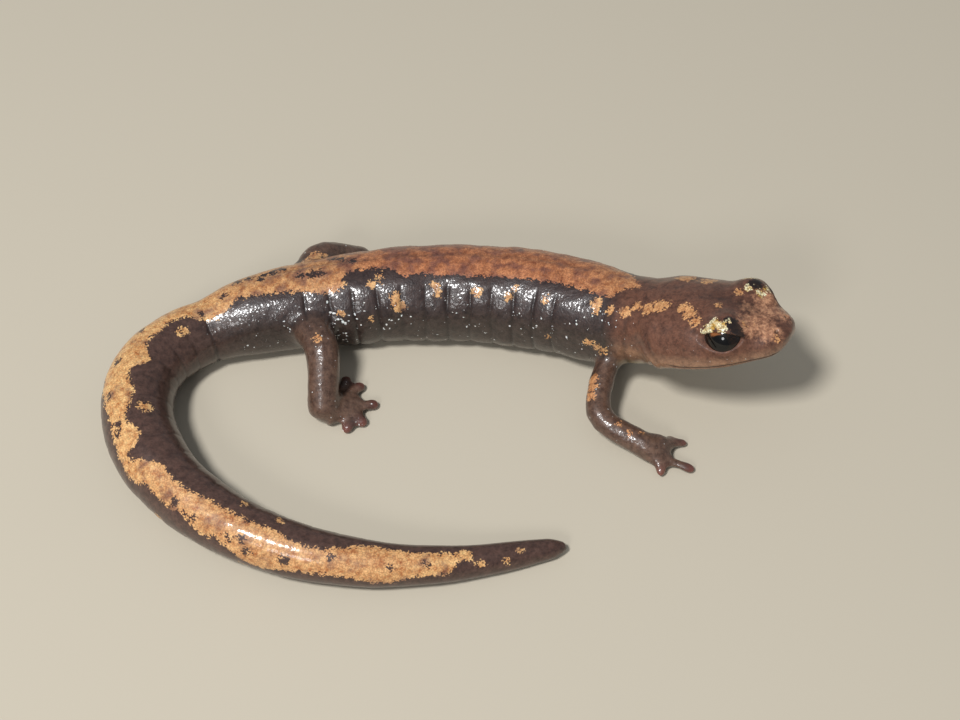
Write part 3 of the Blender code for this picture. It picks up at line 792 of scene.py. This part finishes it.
LEFT_EDGE = (
    (-2.2, -0.6), (-1.2, 0.3), (0.5, 1.7), (3.0, 3.3), (6.0, 3.9), (9.0, 4.2), (12.0, 3.9),
    (15.0, 4.25), (18.0, 3.9), (20.0, 4.2), (23.0, 3.8), (26.0, 4.0), (29.0, 3.5),
    (31.0, 3.4), (33.0, 2.9), (35.0, 2.9), (38.0, 2.5), (42.0, 1.8),
    (46.0, 2.1), (50.0, 1.2), (52.6, 0.5), (53.8, 0.65), (55.0, 0.9), (57.1, 1.35),
    (58.2, 1.1), (59.0, 0.6), (60.0, 0.7), (62.6, 0.6), (64.5, 1.2), (66.0, 1.05),
    (69.2, 2.3), (72.2, 1.45), (75.6, 1.2), (79.1, 1.6), (81.6, 0.95), (84.0, 1.0),
    (84.9, -0.4), (94.0, -0.5),
)


def stripe_depth(along, angle, reach):
    """How far inside the stripe each point is."""
    right = curve(RIGHT_EDGE, along)
    left = curve(LEFT_EDGE, along)
    round_from_back = angle * body_value(3, along)
    depth = np.minimum(right + round_from_back, left - round_from_back)
    return depth - 3 * off_trunk(reach)


print("stripe edges follow", len(RIGHT_EDGE + LEFT_EDGE), "places")

# %% [markdown]
# ## Spots
# Spots of the trunk and tail are given by distance back, distance round from the mid-back (minus
# is the right side) and radius. Spots of the head are balls in the head's own coordinates, those
# of the limbs are balls on the floor's grid. A point's depth is the radius less its distance.
# %% Spots
BODY_SPOTS = (
    (22.0, -3.4, 0.5), (21.7, -4.3, 0.55), (22.2, -4.0, 0.3), (18.4, -2.5, 0.4),
    (18.1, -3.2, 0.3), (14.4, -3.05, 0.42), (10.7, -2.45, 0.32), (11.2, -3.25, 0.34),
    (7.4, -3.05, 0.38), (6.6, -7.0, 0.25), (2.0, -2.65, 0.5), (1.9, -3.3, 0.35),
    (24.1, -2.1, 0.32), (26.7, -1.7, 0.34), (27.1, -4.4, 0.3), (24.5, -5.35, 0.2),
    (23.2, -1.2, 0.3), (23.3, -1.9, 0.2), (0.5, -3.05, 0.45), (-1.2, -3.0, 0.5),
    (-2.1, -2.4, 0.45), (41.8, -2.6, 0.38), (42.3, -2.5, 0.3), (52.8, -3.0, 0.5),
    (52.5, -2.6, 0.4), (66.4, -2.9, 0.27), (69.8, -2.6, 0.3), (85.4, -0.4, 0.5),
    (84.7, -0.35, 0.42), (86.5, 0.5, 0.3), (88.6, 0.5, 0.27), (89.8, -0.05, 0.2),
    (20.5, 5.5, 0.5), (16.4, 5.3, 0.4), (12.6, 5.6, 0.42), (9.0, 5.4, 0.35),
    (5.2, 5.2, 0.42), (24.6, 5.3, 0.38), (1.5, 3.9, 0.45), (-0.8, 3.0, 0.5),
    (30.5, 3.6, 0.3), (43.5, 2.9, 0.4), (50.0, 3.1, 0.5), (60.5, 3.0, 0.35), (68.0, 3.2, 0.4),
)
DARK_SPOTS = (
    (29.2, -0.35, 0.42), (28.4, -0.4, 0.35), (30.1, -0.3, 0.35), (56.5, -0.3, 0.5),
    (59.0, 1.0, 0.5), (62.6, 0.85, 0.42), (61.8, 0.1, 0.3), (63.6, 0.3, 0.25),
    (65.6, 1.1, 0.35), (66.8, 0.4, 0.25), (67.7, 0.0, 0.32), (68.4, 0.9, 0.25),
    (71.3, 0.7, 0.4), (74.8, -0.4, 0.25), (39.5, -1.6, 0.25), (33.6, 0.2, 0.3),
    (25.4, 0.9, 0.32), (26.4, 1.5, 0.4), (27.1, 1.7, 0.3), (31.6, 1.3, 0.3),
    (32.4, 1.0, 0.4), (33.3, 0.9, 0.3), (34.6, 0.9, 0.36), (35.4, 0.7, 0.3),
    (36.6, -0.6, 0.25), (44.2, 0.3, 0.24), (47.4, 0.2, 0.3), (50.6, 0.3, 0.32),
    (53.4, -0.2, 0.34), (54.1, 0.1, 0.3), (79.3, 0.2, 0.22), (82.2, -0.1, 0.25),
)
HEAD_SPOTS = (
    (3.3, -2.5, 3.1, 0.62), (4.2, -2.15, 3.3, 0.66), (4.8, -1.95, 3.35, 0.4),
    (6.5, -2.1, 3.2, 0.5), (7.2, -2.5, 3.1, 0.6), (8.1, -3.1, 2.7, 0.45),
    (9.3, -1.1, 2.95, 0.3), (4.6, 2.3, 3.2, 0.8), (6.6, 2.5, 3.1, 0.7),
    (12.0, -2.1, 2.3, 0.28), (12.6, -1.5, 2.1, 0.2), (14.2, -1.5, 0.6, 0.3),
    (10.0, 1.3, 2.95, 0.35), (11.2, 2.1, 2.75, 0.3),
)
LIMB_SPOTS = (
    (9.4, -2.5, 5.4, 0.38), (10.0, -2.75, 5.15, 0.3), (10.55, -3.0, 4.95, 0.36),
    (9.7, -5.1, 3.7, 0.5), (9.45, -5.9, 3.5, 0.52), (9.3, -6.7, 3.3, 0.5),
    (11.7, -9.15, 2.7, 0.24), (12.55, -10.15, 2.4, 0.22), (13.65, -9.95, 2.35, 0.16),
    (-14.0, -2.4, 5.85, 0.34), (-14.8, 7.6, 5.5, 0.6), (-13.9, 7.9, 5.3, 0.3),
    (9.0, 7.0, 3.7, 0.5),
)
GILT_SPOTS = (
    (9.5, -3.9, 2.65, 0.6), (10.0, -3.6, 3.0, 0.6), (10.55, -3.65, 2.9, 0.55),
    (11.15, -2.85, 3.0, 0.2), (9.2, -4.1, 2.2, 0.35), (10.0, 3.6, 3.0, 0.6),
    (10.6, 1.9, 3.0, 0.35), (11.7, 1.9, 2.6, 0.4), (11.9, 2.8, 2.55, 0.4),
)
# Black patches over the eyes; the last ball of each side is painted shade at the eye's front
# corner.
INK_AND_SHADE_SPOTS = (
    (11.35, -2.95, 2.9, 0.75), (11.8, -3.25, 2.4, 0.6), (12.1, -3.3, 1.9, 0.45),
    (11.0, 2.6, 3.05, 0.7), (12.0, 3.3, 1.9, 0.4),
)


def ball_depth(points, balls):
    """How far inside the nearest of these balls each point is."""
    balls = np.array(balls)
    away = [ball[3] - np.linalg.norm(points - ball[:3], axis=1) for ball in balls]
    return np.max(away, axis=0)


def round_depth(along, angle, reach, spots):
    """The same for spots given on the unrolled skin of the trunk and tail."""
    arc = angle * body_value(3, along)
    away = [radius - np.hypot(along - at, arc - over) for at, over, radius in spots]
    return np.max(away, axis=0) - 3 * off_trunk(reach)


points = read_points(skin)
along, angle, reach = body_place(points)
where = head_place(points)
stripe = stripe_depth(along, angle, reach)
spots = np.maximum(
    round_depth(along, angle, reach, BODY_SPOTS),
    np.maximum(ball_depth(where, HEAD_SPOTS), ball_depth(points - SHIFT, LIMB_SPOTS)),
)
paint = np.minimum(stripe, -round_depth(along, angle, reach, DARK_SPOTS) * 0.9)
paint = np.maximum(paint, spots)
print(len(BODY_SPOTS + HEAD_SPOTS + LIMB_SPOTS), "spots,", (paint > 0).sum(), "points inside")

# %% [markdown]
# ## Softer changes of colour
# Other numbers run from 0 to 1 and blend whole regions. Two of them follow the body's length: how
# golden the paint is, and how mottled. The rest tell head, limbs, snout and flank apart.
# %% Regions
GOLDEN = (
    (-6, 0.45), (0, 0.3), (6, 0.12), (18, 0.05), (24, 0.15), (28, 0.5), (34, 0.6), (40, 0.9),
    (52, 1.0), (60, 0.75), (72, 0.7), (80, 0.75), (86, 0.95), (94, 0.9),
)
MOTTLED = (
    (-6, 0.3), (0, 0.4), (8, 0.5), (15, 0.8), (22, 1.0), (27, 0.75), (31, 0.6), (38, 0.35),
    (46, 0.1), (56, 0.3), (66, 0.3), (74, 0.15), (94, 0.3),
)
SNOUT = [(12.2, 1.9, 2.1, 1.6), (12.6, 0.4, 2.0, 1.6), (13.6, 1.4, 1.3, 1.5), (11.2, 0.0, 2.6, 1.0)]
SPOT_GOLD = 0.75
side = np.abs(angle)
folded = fold_over(where)
on_limb = (1 - step_up(limb_distance(points), 1.5, 2.3)) * step_up(reach, 1.0, 1.25)
on_head = step_up(where[:, 0], -1.0, 1.0) * (1 - step_up(folded[:, 1], 5.4, 6.2))
on_head *= (where[:, 2] > -4) * (1 - on_limb)
golden = curve(GOLDEN, along)
spot_gold = np.maximum(golden, SPOT_GOLD - 0.35 * on_limb - 0.2 * on_head)
golden = np.where(spots > stripe, spot_gold, golden)
mottled = curve(MOTTLED, along) * (spots <= stripe)
dust = step_up(ball_depth(folded, SNOUT), -0.6, 1.2)
throat = step_up(-where[:, 2], 1.6, 2.5) * (1 - step_up(where[:, 0], 6, 9))
under_lid = 1 - step_up(np.linalg.norm(folded - EYE, axis=1), 2.5, 3.1)
under_lid *= step_up(EYE[2] - where[:, 2], -1.3, -0.5)
print("on the head:", int((on_head > 0.5).sum()), "points, on limbs:", int((on_limb > 0.5).sum()))

# %% [markdown]
# Pale flecks, partly the skin's own and partly painted highlights, show most on the flank and
# round the hind legs, and a little on limbs and jaw. The skin of the trunk is the most grainy,
# that of the tail the smoothest.
# %% Where the skin glints
HIPS = 28
flank_end = 1 - step_up(side, 1.9, 2.3)
flank = step_up(side, 0.5, 0.85) * flank_end * (1 - step_up(along, 36, 44))
hips = ridge(along - HIPS, 5) * step_up(side, 0.7, 1.1) * flank_end
pale_flecks_and_glints = np.maximum(0.55 * flank * step_up(along, -4, 0), hips)
pale_flecks_and_glints = np.maximum(np.minimum(pale_flecks_and_glints, 1 - on_limb), 0.36 * on_limb)
pale_flecks_and_glints = np.maximum(pale_flecks_and_glints, 0.2 * on_head * (1 - step_up(where[:, 2], 1.5, 2.8)))
smooth_tail = step_up(along, 34, 42) * (1 - on_head) * (1 - on_limb)
grainy = 1 - 0.75 * smooth_tail - 0.35 * on_head
folds = body_folds(along, angle, reach) + face_folds(where, read_normals(skin) @ head_axes.T)
print("mean glitter of the skin:", pale_flecks_and_glints.mean().round(3))

# %% [markdown]
# ## Store the numbers
# A float attribute on the points keeps each number, and the material reads it by name.
# %% Attributes


def store(obj, name, values):
    attribute = obj.data.attributes.new(name, "FLOAT", "POINT")
    attribute.data.foreach_set("value", np.asarray(values, np.float32))


SKIN_NUMBERS = {
    "paint": paint,
    "golden": golden,
    "mottled": mottled,
    "gilt": ball_depth(where, GILT_SPOTS),
    "ink_and_shade": ball_depth(where, INK_AND_SHADE_SPOTS),
    "dust": dust,
    "pale_flecks_and_glints": pale_flecks_and_glints,
    "grainy": grainy,
    # Painted shade: how deep a point lies in grooves, pits and folds.
    "fold": np.clip(-folds / 0.11, 0, 1),
    "low": step_up(side, 0.75, 1.5) * (1 - on_head),
    "tail": step_up(along, 34, 44) * (1 - on_head) * (1 - on_limb),
    "under": step_up(side, 1.9, 2.5) * step_up(1.4 - reach, 0, 0.2),
    "limb": on_limb,
    "head": on_head,
    "jaw": on_head * step_up(-where[:, 2], -0.6, 0.8),
    "throat": on_head * throat,
    "hand": ridge(nearest_of(points, KNUCKLES), 2.5) * on_limb,
    "toe_tip": ridge(nearest_of(points, TIPS), 0.75),
    "lid": under_lid,
}
for name, values in SKIN_NUMBERS.items():
    store(skin, name, values)
print("attributes:", list(SKIN_NUMBERS))

# %% [markdown]
# ## Small tools for the materials
# Noise is scaled so that its patches have a size in millimetres, and a few short functions keep
# the node code readable.
# %% Node tools


def field(tree, place, size, detail=3.0):
    """Soft noise whose patches are about this many millimetres across."""
    values = {"Vector": place, "Scale": 1 / (size * MM), "Detail": float(detail)}
    return add(tree, "TexNoise", values).outputs["Fac"]


def granules(tree, place, size):
    """Small cells this many millimetres across: distance from the middle, and a random value."""
    cells = add(tree, "TexVoronoi", {"Vector": place, "Scale": 1 / (size * MM)})
    split = add(tree, "SeparateColor", {0: cells.outputs["Color"]})
    return cells.outputs["Distance"], split.outputs[0]


def compute(tree, operation, first, second=0.0):
    return add(tree, "Math", {0: first, 1: second}, operation=operation).outputs[0]


def weighted(tree, start, *terms):
    """A start value, plus each socket times its weight."""
    total = start
    for socket, weight in terms:
        total = compute(tree, "ADD", total, compute(tree, "MULTIPLY", socket, weight))
    return total


def squared(tree, value):
    return compute(tree, "MULTIPLY", value, value)


def soft_step(tree, value, low, high):
    """0 before the low value and 1 past the high one."""
    return add(tree, "MapRange", {"Value": value, 1: low, 2: high}).outputs[0]


def blend(tree, share, first, second):
    """Mixes two colours, each a hex value or a socket."""
    pair = [colour(c) if isinstance(c, str) else c for c in (first, second)]
    return add(tree, "MixRGB", {0: share, 1: pair[0], 2: pair[1]}).outputs[0]


def mixed(tree, share, first, second, amount):
    """A blend by a share that is first scaled by an amount."""
    return blend(tree, compute(tree, "MULTIPLY", share, amount), first, second)


def stored(tree, name):
    """A number that the points carry."""
    return add(tree, "Attribute", attribute_name=name).outputs["Fac"]


def new_material(name):
    """A material with an empty node tree, and places on the object in metres."""
    material = bpy.data.materials.new(name)
    material.use_nodes = True
    material.node_tree.nodes.clear()
    place = add(material.node_tree, "TexCoord").outputs["Object"]
    return material, material.node_tree, place


def end_tree(tree, inputs):
    """Ends the tree with a Principled shader that takes these inputs."""
    shader = add(tree, "BsdfPrincipled", inputs)
    add(tree, "OutputMaterial", {"Surface": shader.outputs[0]})


print("node tools ready")

# %% [markdown]
# ## The colours of the skin
# The ground is a dark purple-brown, greyer low on the flank and browner on tail, head and limbs.
# A table gives each region its darkest and palest colour and how much of it shows. Over the
# ground comes the paint: brick red and mottled on the trunk, golden on the tail. Its edge is
# shifted by soft noise and, cell by cell, by a random amount, so it breaks up into granules.
# %% Ground and paint
GROUND = ("#231819", "#473733")
REGION_GROUNDS = (
    ("low", "#251d19", "#4b3e37", 0.85),
    ("tail", "#35241f", "#64493f", 0.85),
    ("limb", "#3b2820", "#725748", 1.0),
    ("head", "#43291f", "#7a5240", 1.0),
    ("jaw", "#6d5040", "#a98265", 1.0),
    # Hands and feet: paler in their own tone, and lighter still as painted light against their
    # shade.
    ("hand", "#453229", "#7c6253", 0.6),
    ("under", "#574a41", "#574a41", 0.7),
    ("throat", "#a08f68", "#a08f68", 0.7),
)
SNOUT_DUST = ("#8e5a42", "#dfa982")
BRICK = ("#713922", "#d68a5d")
GOLD = ("#b0642a", "#ffd492")
PURPLE = ("#4a2d30", "#7d5049")


def ground_colour(tree, values, grain, middling, random):
    """The skin without its stripe and spots."""
    ground = blend(tree, grain, *GROUND)
    for region, dark, pale, amount in REGION_GROUNDS:
        ground = mixed(tree, values[region], ground, blend(tree, grain, dark, pale), amount)
    dusted = weighted(tree, values["dust"], (random, 0.25), (middling, 1.2))
    dusted = soft_step(tree, dusted, 1.15, 1.9)
    return mixed(tree, dusted, ground, blend(tree, grain, *SNOUT_DUST), 0.85)


def paint_colour(tree, values, grain, coarse, middle_of, random):
    """The stripe and spots, mottled purple, with each granule darker round its edge."""
    paint = blend(tree, values["golden"], blend(tree, grain, *BRICK), blend(tree, grain, *GOLD))
    purple = weighted(tree, coarse, (values["mottled"], 0.17), (random, 0.08))
    purple = soft_step(tree, purple, 0.63, 0.8)
    paint = mixed(tree, purple, paint, blend(tree, grain, *PURPLE), 0.7)
    return mixed(tree, soft_step(tree, middle_of, 0.42, 0.7), paint, "#4a2a1e", 0.35)


print("grounds for", len(REGION_GROUNDS), "regions")

# %% [markdown]
# The lids carry a pale gilt patch and a black one, which runs on as painted shade at the front
# corner of each eye. Toe tips are reddish, and folds are darkened with painted shade. Pale dashes
# lie on the flanks, partly the skin's own pale flecks and partly painted highlights. The dashes
# are cells of two sizes, each stretched one way. Every cell has a random number: only those where
# it is high enough show, larger the higher it is. All sizes are in millimetres.
# %% All colours together
GRANULE = 0.13
COARSE_PATCH = 1.3
SMALL_PATCH = 0.5
CROWD = 0.9
TORN_EDGE = 0.07
DASHES = (((0.6, 1.0, 1.0), 0.2), ((1.0, 0.55, 0.8), 0.27))


# The pale dashes are partly the skin's own pale flecks and partly painted highlights.
def glints(tree, place, amount):
    """Small ragged pale dashes in loose crowds, more of them where the amount is near 1."""
    crowd = soft_step(tree, field(tree, place, CROWD, 1), 0.38, 0.66)
    amount = compute(tree, "MULTIPLY", amount, weighted(tree, 0.25, (crowd, 1.3)))
    torn = compute(tree, "MULTIPLY", field(tree, place, TORN_EDGE), 0.7)
    found = []
    for stretch, size in DASHES:
        along = add(tree, "VectorMath", {0: place, 1: stretch}, operation="MULTIPLY").outputs[0]
        middle_of, chance = granules(tree, along, size)
        chosen = weighted(tree, chance, (amount, 0.3))
        reach = weighted(tree, 0.02, (soft_step(tree, chosen, 0.98, 1.35), 0.55))
        inside = compute(tree, "SUBTRACT", reach, compute(tree, "ADD", middle_of, torn))
        inside = soft_step(tree, inside, -0.34, -0.22)
        found.append(compute(tree, "MULTIPLY", inside, soft_step(tree, chosen, 1.0, 1.03)))
    return compute(tree, "MAXIMUM", *found)


def skin_colours(tree, place, values):
    """The colour of the skin, how much of it is paint, and where it glints."""
    coarse = field(tree, place, COARSE_PATCH)
    middling = field(tree, place, SMALL_PATCH, 4)
    middle_of, random = granules(tree, place, GRANULE)
    grain = weighted(tree, 0.0, (soft_step(tree, middling, 0.3, 0.7), 0.65), (random, 0.35))
    ground = ground_colour(tree, values, grain, middling, random)
    painted = paint_colour(tree, values, grain, coarse, middle_of, random)
    ragged = weighted(tree, -0.67, (middling, 0.9), (random, 0.42))
    share = soft_step(tree, compute(tree, "ADD", values["paint"], ragged), -0.04, 0.04)
    skin_paint = blend(tree, share, ground, painted)
    # Painted shade darkens the skin in grooves, pits and folds by their depth.
    skin_paint = mixed(tree, values["fold"], skin_paint, "#1c1311", 0.6)
    # The black lid patches, with painted shade at the front corner of each eye.
    ink_and_shade = soft_step(tree, weighted(tree, values["ink_and_shade"], (ragged, 0.8)), -0.05, 0.1)
    gilt = soft_step(tree, weighted(tree, values["gilt"], (ragged, 0.8)), -0.02, 0.03)
    skin_paint = mixed(tree, ink_and_shade, skin_paint, "#120d0c", 0.93)
    metal = blend(tree, soft_step(tree, middling, 0.4, 0.6), "#c79a45", "#fff6cd")
    metal = mixed(tree, soft_step(tree, middle_of, 0.4, 0.65), metal, "#54401f", 0.6)
    skin_paint = blend(tree, gilt, skin_paint, metal)
    skin_paint = mixed(tree, values["toe_tip"], skin_paint, "#8d5247", 0.6)
    # Painted highlights and pale flecks: pale dashes laid over the skin colour.
    glint = glints(tree, place, values["pale_flecks_and_glints"])
    return mixed(tree, glint, skin_paint, "#f4f6f4", 0.9), share, glint


print("granules", GRANULE, "mm across")

# %% [markdown]
# ## Wet amphibian skin
# Amphibian skin is thin, moist and slightly see-through over dark pigment: a Principled shader
# with a middling roughness, a clear wet coat and a little light scattered under the surface.
# Granules 0.15 mm across and soft wrinkles bend the light, and the coat has its own coarser
# bumps, so a highlight breaks up into sparks as on the animal. Head and tail are smoother, and
# the lower lids drier.
# %% Skin material
SKIN_IOR = 1.4
SKIN_ROUGHNESS = 0.4
WET_COAT = 0.5
FINE_GRANULE = 0.15
COAT_BEAD = 0.24
WRINKLE = 0.36
SKIN_DEPTHS = (0.012, 0.025)
COAT_DEPTHS = (0.02, 0.022)


def bump(tree, height, depth, strength, onto=None):
    """Bends the surface by a height, whose full range is this many millimetres."""
    inputs = {"Height": height, "Strength": strength, "Distance": depth * MM}
    if onto is not None:
        inputs["Normal"] = onto
    return add(tree, "Bump", inputs).outputs[0]


def skin_material():
    material, tree, place = new_material("wet_amphibian_skin")
    values = {name: stored(tree, name) for name in SKIN_NUMBERS}
    paint, share, glint = skin_colours(tree, place, values)
    wrinkles = field(tree, place, WRINKLE, 3)
    much = values["grainy"]
    relief = []
    for size, (bead, low) in ((FINE_GRANULE, SKIN_DEPTHS), (COAT_BEAD, COAT_DEPTHS)):
        grains, _ = granules(tree, place, size)
        relief.append(bump(tree, grains, bead, much, bump(tree, wrinkles, low, much)))
    rough = weighted(tree, SKIN_ROUGHNESS, (share, 0.1), (glint, -0.2), (values["lid"], 0.2))
    wet = weighted(tree, WET_COAT, (values["lid"], -0.45))
    inputs = {"Base Color": paint, "Roughness": rough, "IOR": SKIN_IOR, "Normal": relief[0]}
    inputs |= {"Coat Weight": wet, "Coat Roughness": 0.12, "Coat Normal": relief[1]}
    inputs |= {"Subsurface Weight": 0.08, "Subsurface Scale": 0.5 * MM}
    end_tree(tree, inputs | {"Subsurface Radius": (1.0, 0.4, 0.25)})
    return material


skin.data.materials.clear()
skin.data.materials.append(skin_material())
print("skin material ready")

# %% [markdown]
# ## Eyeballs
# Each eyeball is a ball under the carved lids. Its points store how far they lie from the middle
# of the gaze, forward and up, so the material can draw the pupil without any texture space.
# %% Eyeballs


def make_eye(name, side):
    """A ball with its pupil turned where the animal looks."""
    _, onward, over = eye_axes(side)
    centre = (EYE + GAZE * EYE_FORWARD) * side @ head_axes + middle[0]
    bpy.ops.object.select_all(action="DESELECT")
    bpy.ops.mesh.primitive_uv_sphere_add(
        segments=64, ring_count=32, radius=EYEBALL_RADIUS * MM, location=centre * MM
    )
    eye = bpy.context.object
    eye.name = "eyeball_" + name
    bpy.ops.object.transform_apply(location=True, rotation=True, scale=True)
    bpy.ops.object.shade_smooth()
    offset = read_points(eye) - centre
    store(eye, "from_pupil_u", offset @ (onward @ head_axes))
    store(eye, "from_pupil_v", offset @ (over @ head_axes))
    return eye


def eye_material():
    """Black pupil in a very dark brown iris with a coppery spot above, partly a painted glint,
    under a clear wet coat.
    """
    material, tree, place = new_material("glossy_wet_eye")
    u, v = stored(tree, "from_pupil_u"), stored(tree, "from_pupil_v")
    grain = field(tree, place, 0.16, 4)
    away = compute(tree, "SQRT", compute(tree, "ADD", squared(tree, u), squared(tree, v)))
    iris = blend(tree, soft_step(tree, grain, 0.45, 0.7), "#0c0806", "#26160e")
    high = compute(tree, "ADD", v, compute(tree, "MULTIPLY", grain, 0.3))
    from_below, from_above = soft_step(tree, high, 0.68, 0.82), soft_step(tree, high, 1.1, 0.95)
    band = compute(tree, "MULTIPLY", from_below, from_above)
    near = squared(tree, compute(tree, "ADD", u, 0.35))
    # A coppery spot above the pupil: partly the iris's own colour, partly a painted glint.
    copper_spot_and_glint = compute(tree, "MULTIPLY", band, soft_step(tree, near, 0.3, 0.08))
    iris = blend(tree, copper_spot_and_glint, iris, "#8a5630")
    iris = blend(tree, soft_step(tree, away, 1.25, 1.55), iris, "#1d1a19")
    paint = blend(tree, soft_step(tree, away, PUPIL_RADIUS, PUPIL_RADIUS - 0.1), iris, "#040303")
    values = {"Base Color": paint, "Roughness": 0.35, "IOR": 1.38}
    values |= {"Coat Weight": 0.8, "Coat Roughness": 0.04, "Specular IOR Level": 0.1}
    end_tree(tree, values)
    return material


eye_finish = eye_material()
for name, side in SIDES.items():
    eye = make_eye(name, side)
    eye.data.materials.append(eye_finish)
    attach(eye, "root")
    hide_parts("eye_" + name)
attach(skin, "root")
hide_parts(*FLESH)
print("eyeballs set")

# %% [markdown]
# ## Floor, light and camera
# A plain pale floor lies a hair under the model, so that no face of the skin flickers through
# it.
# %% Floor
FLOOR_SIZE = 1.2
FLOOR_DROP = 0.02
bpy.ops.object.select_all(action="DESELECT")
bpy.ops.mesh.primitive_plane_add(size=FLOOR_SIZE, location=(0, 0, -FLOOR_DROP * MM))
floor = bpy.context.object
floor.name = "studio_floor"
bpy.ops.object.transform_apply(location=True, rotation=True, scale=True)
floor_finish = bpy.data.materials.new("pale_studio_floor")
floor_finish.use_nodes = True
floor_shader = floor_finish.node_tree.nodes["Principled BSDF"]
floor_shader.inputs["Base Color"].default_value = colour("#c4bba9")
floor_shader.inputs["Roughness"].default_value = 0.8
floor.data.materials.append(floor_finish)
print("floor", FLOOR_SIZE, "m wide")

# %% [markdown]
# Two round lights hang half a metre away. The key stands high on the left, where the wet flank
# throws it back to the camera. The fill is weaker and lower. The sky lights the rest evenly.
# %% Lights
LIGHT_DISTANCE = 0.5


def area_light(name, way, size, power):
    """A round soft light that points at the model from one direction."""
    way = Vector(way).normalized()
    bpy.ops.object.light_add(
        type="AREA", location=way * LIGHT_DISTANCE, rotation=way.to_track_quat("Z", "Y").to_euler()
    )
    light = bpy.context.object
    light.name = light.data.name = name
    light.data.shape = "DISK"
    light.data.size = size
    light.data.energy = power


area_light("key", (-0.33, -0.36, 0.87), 0.1, 2.1)
area_light("fill", (-0.3, -0.78, 0.55), 0.12, 0.5)
world = bpy.data.worlds.new("studio")
world.use_nodes = True
sky = world.node_tree.nodes["Background"]
sky.inputs["Color"].default_value = colour("#dfe4ea")
sky.inputs["Strength"].default_value = 0.3
bpy.context.scene.world = world
bpy.context.scene.view_settings.view_transform = "Standard"
print("two lights and a pale sky")

# %% [markdown]
# The photograph looks down on the animal by about 50 degrees. The camera aims at the floor's
# zero, and its distance and angle make the animal fill the frame as it does there.
# %% Camera
VIEW_ELEVATION = math.radians(50)
VIEW_DISTANCE = 0.1599
HALF_VIEW = math.radians(15)
SENSOR_WIDTH = 36
target = Vector((SHIFT[0] * MM, SHIFT[1] * MM, 0))
back = Vector((0, -math.cos(VIEW_ELEVATION), math.sin(VIEW_ELEVATION)))
bpy.ops.object.camera_add(
    location=target + back * VIEW_DISTANCE, rotation=(math.pi / 2 - VIEW_ELEVATION, 0, 0)
)
camera = bpy.context.object
camera.name = camera.data.name = "photo_view"
camera.data.sensor_width = SENSOR_WIDTH
camera.data.lens = SENSOR_WIDTH / 2 / math.tan(HALF_VIEW)
camera.data.clip_start = 0.001
bpy.context.scene.camera = camera
print("camera with a lens of", round(camera.data.lens, 1), "mm")
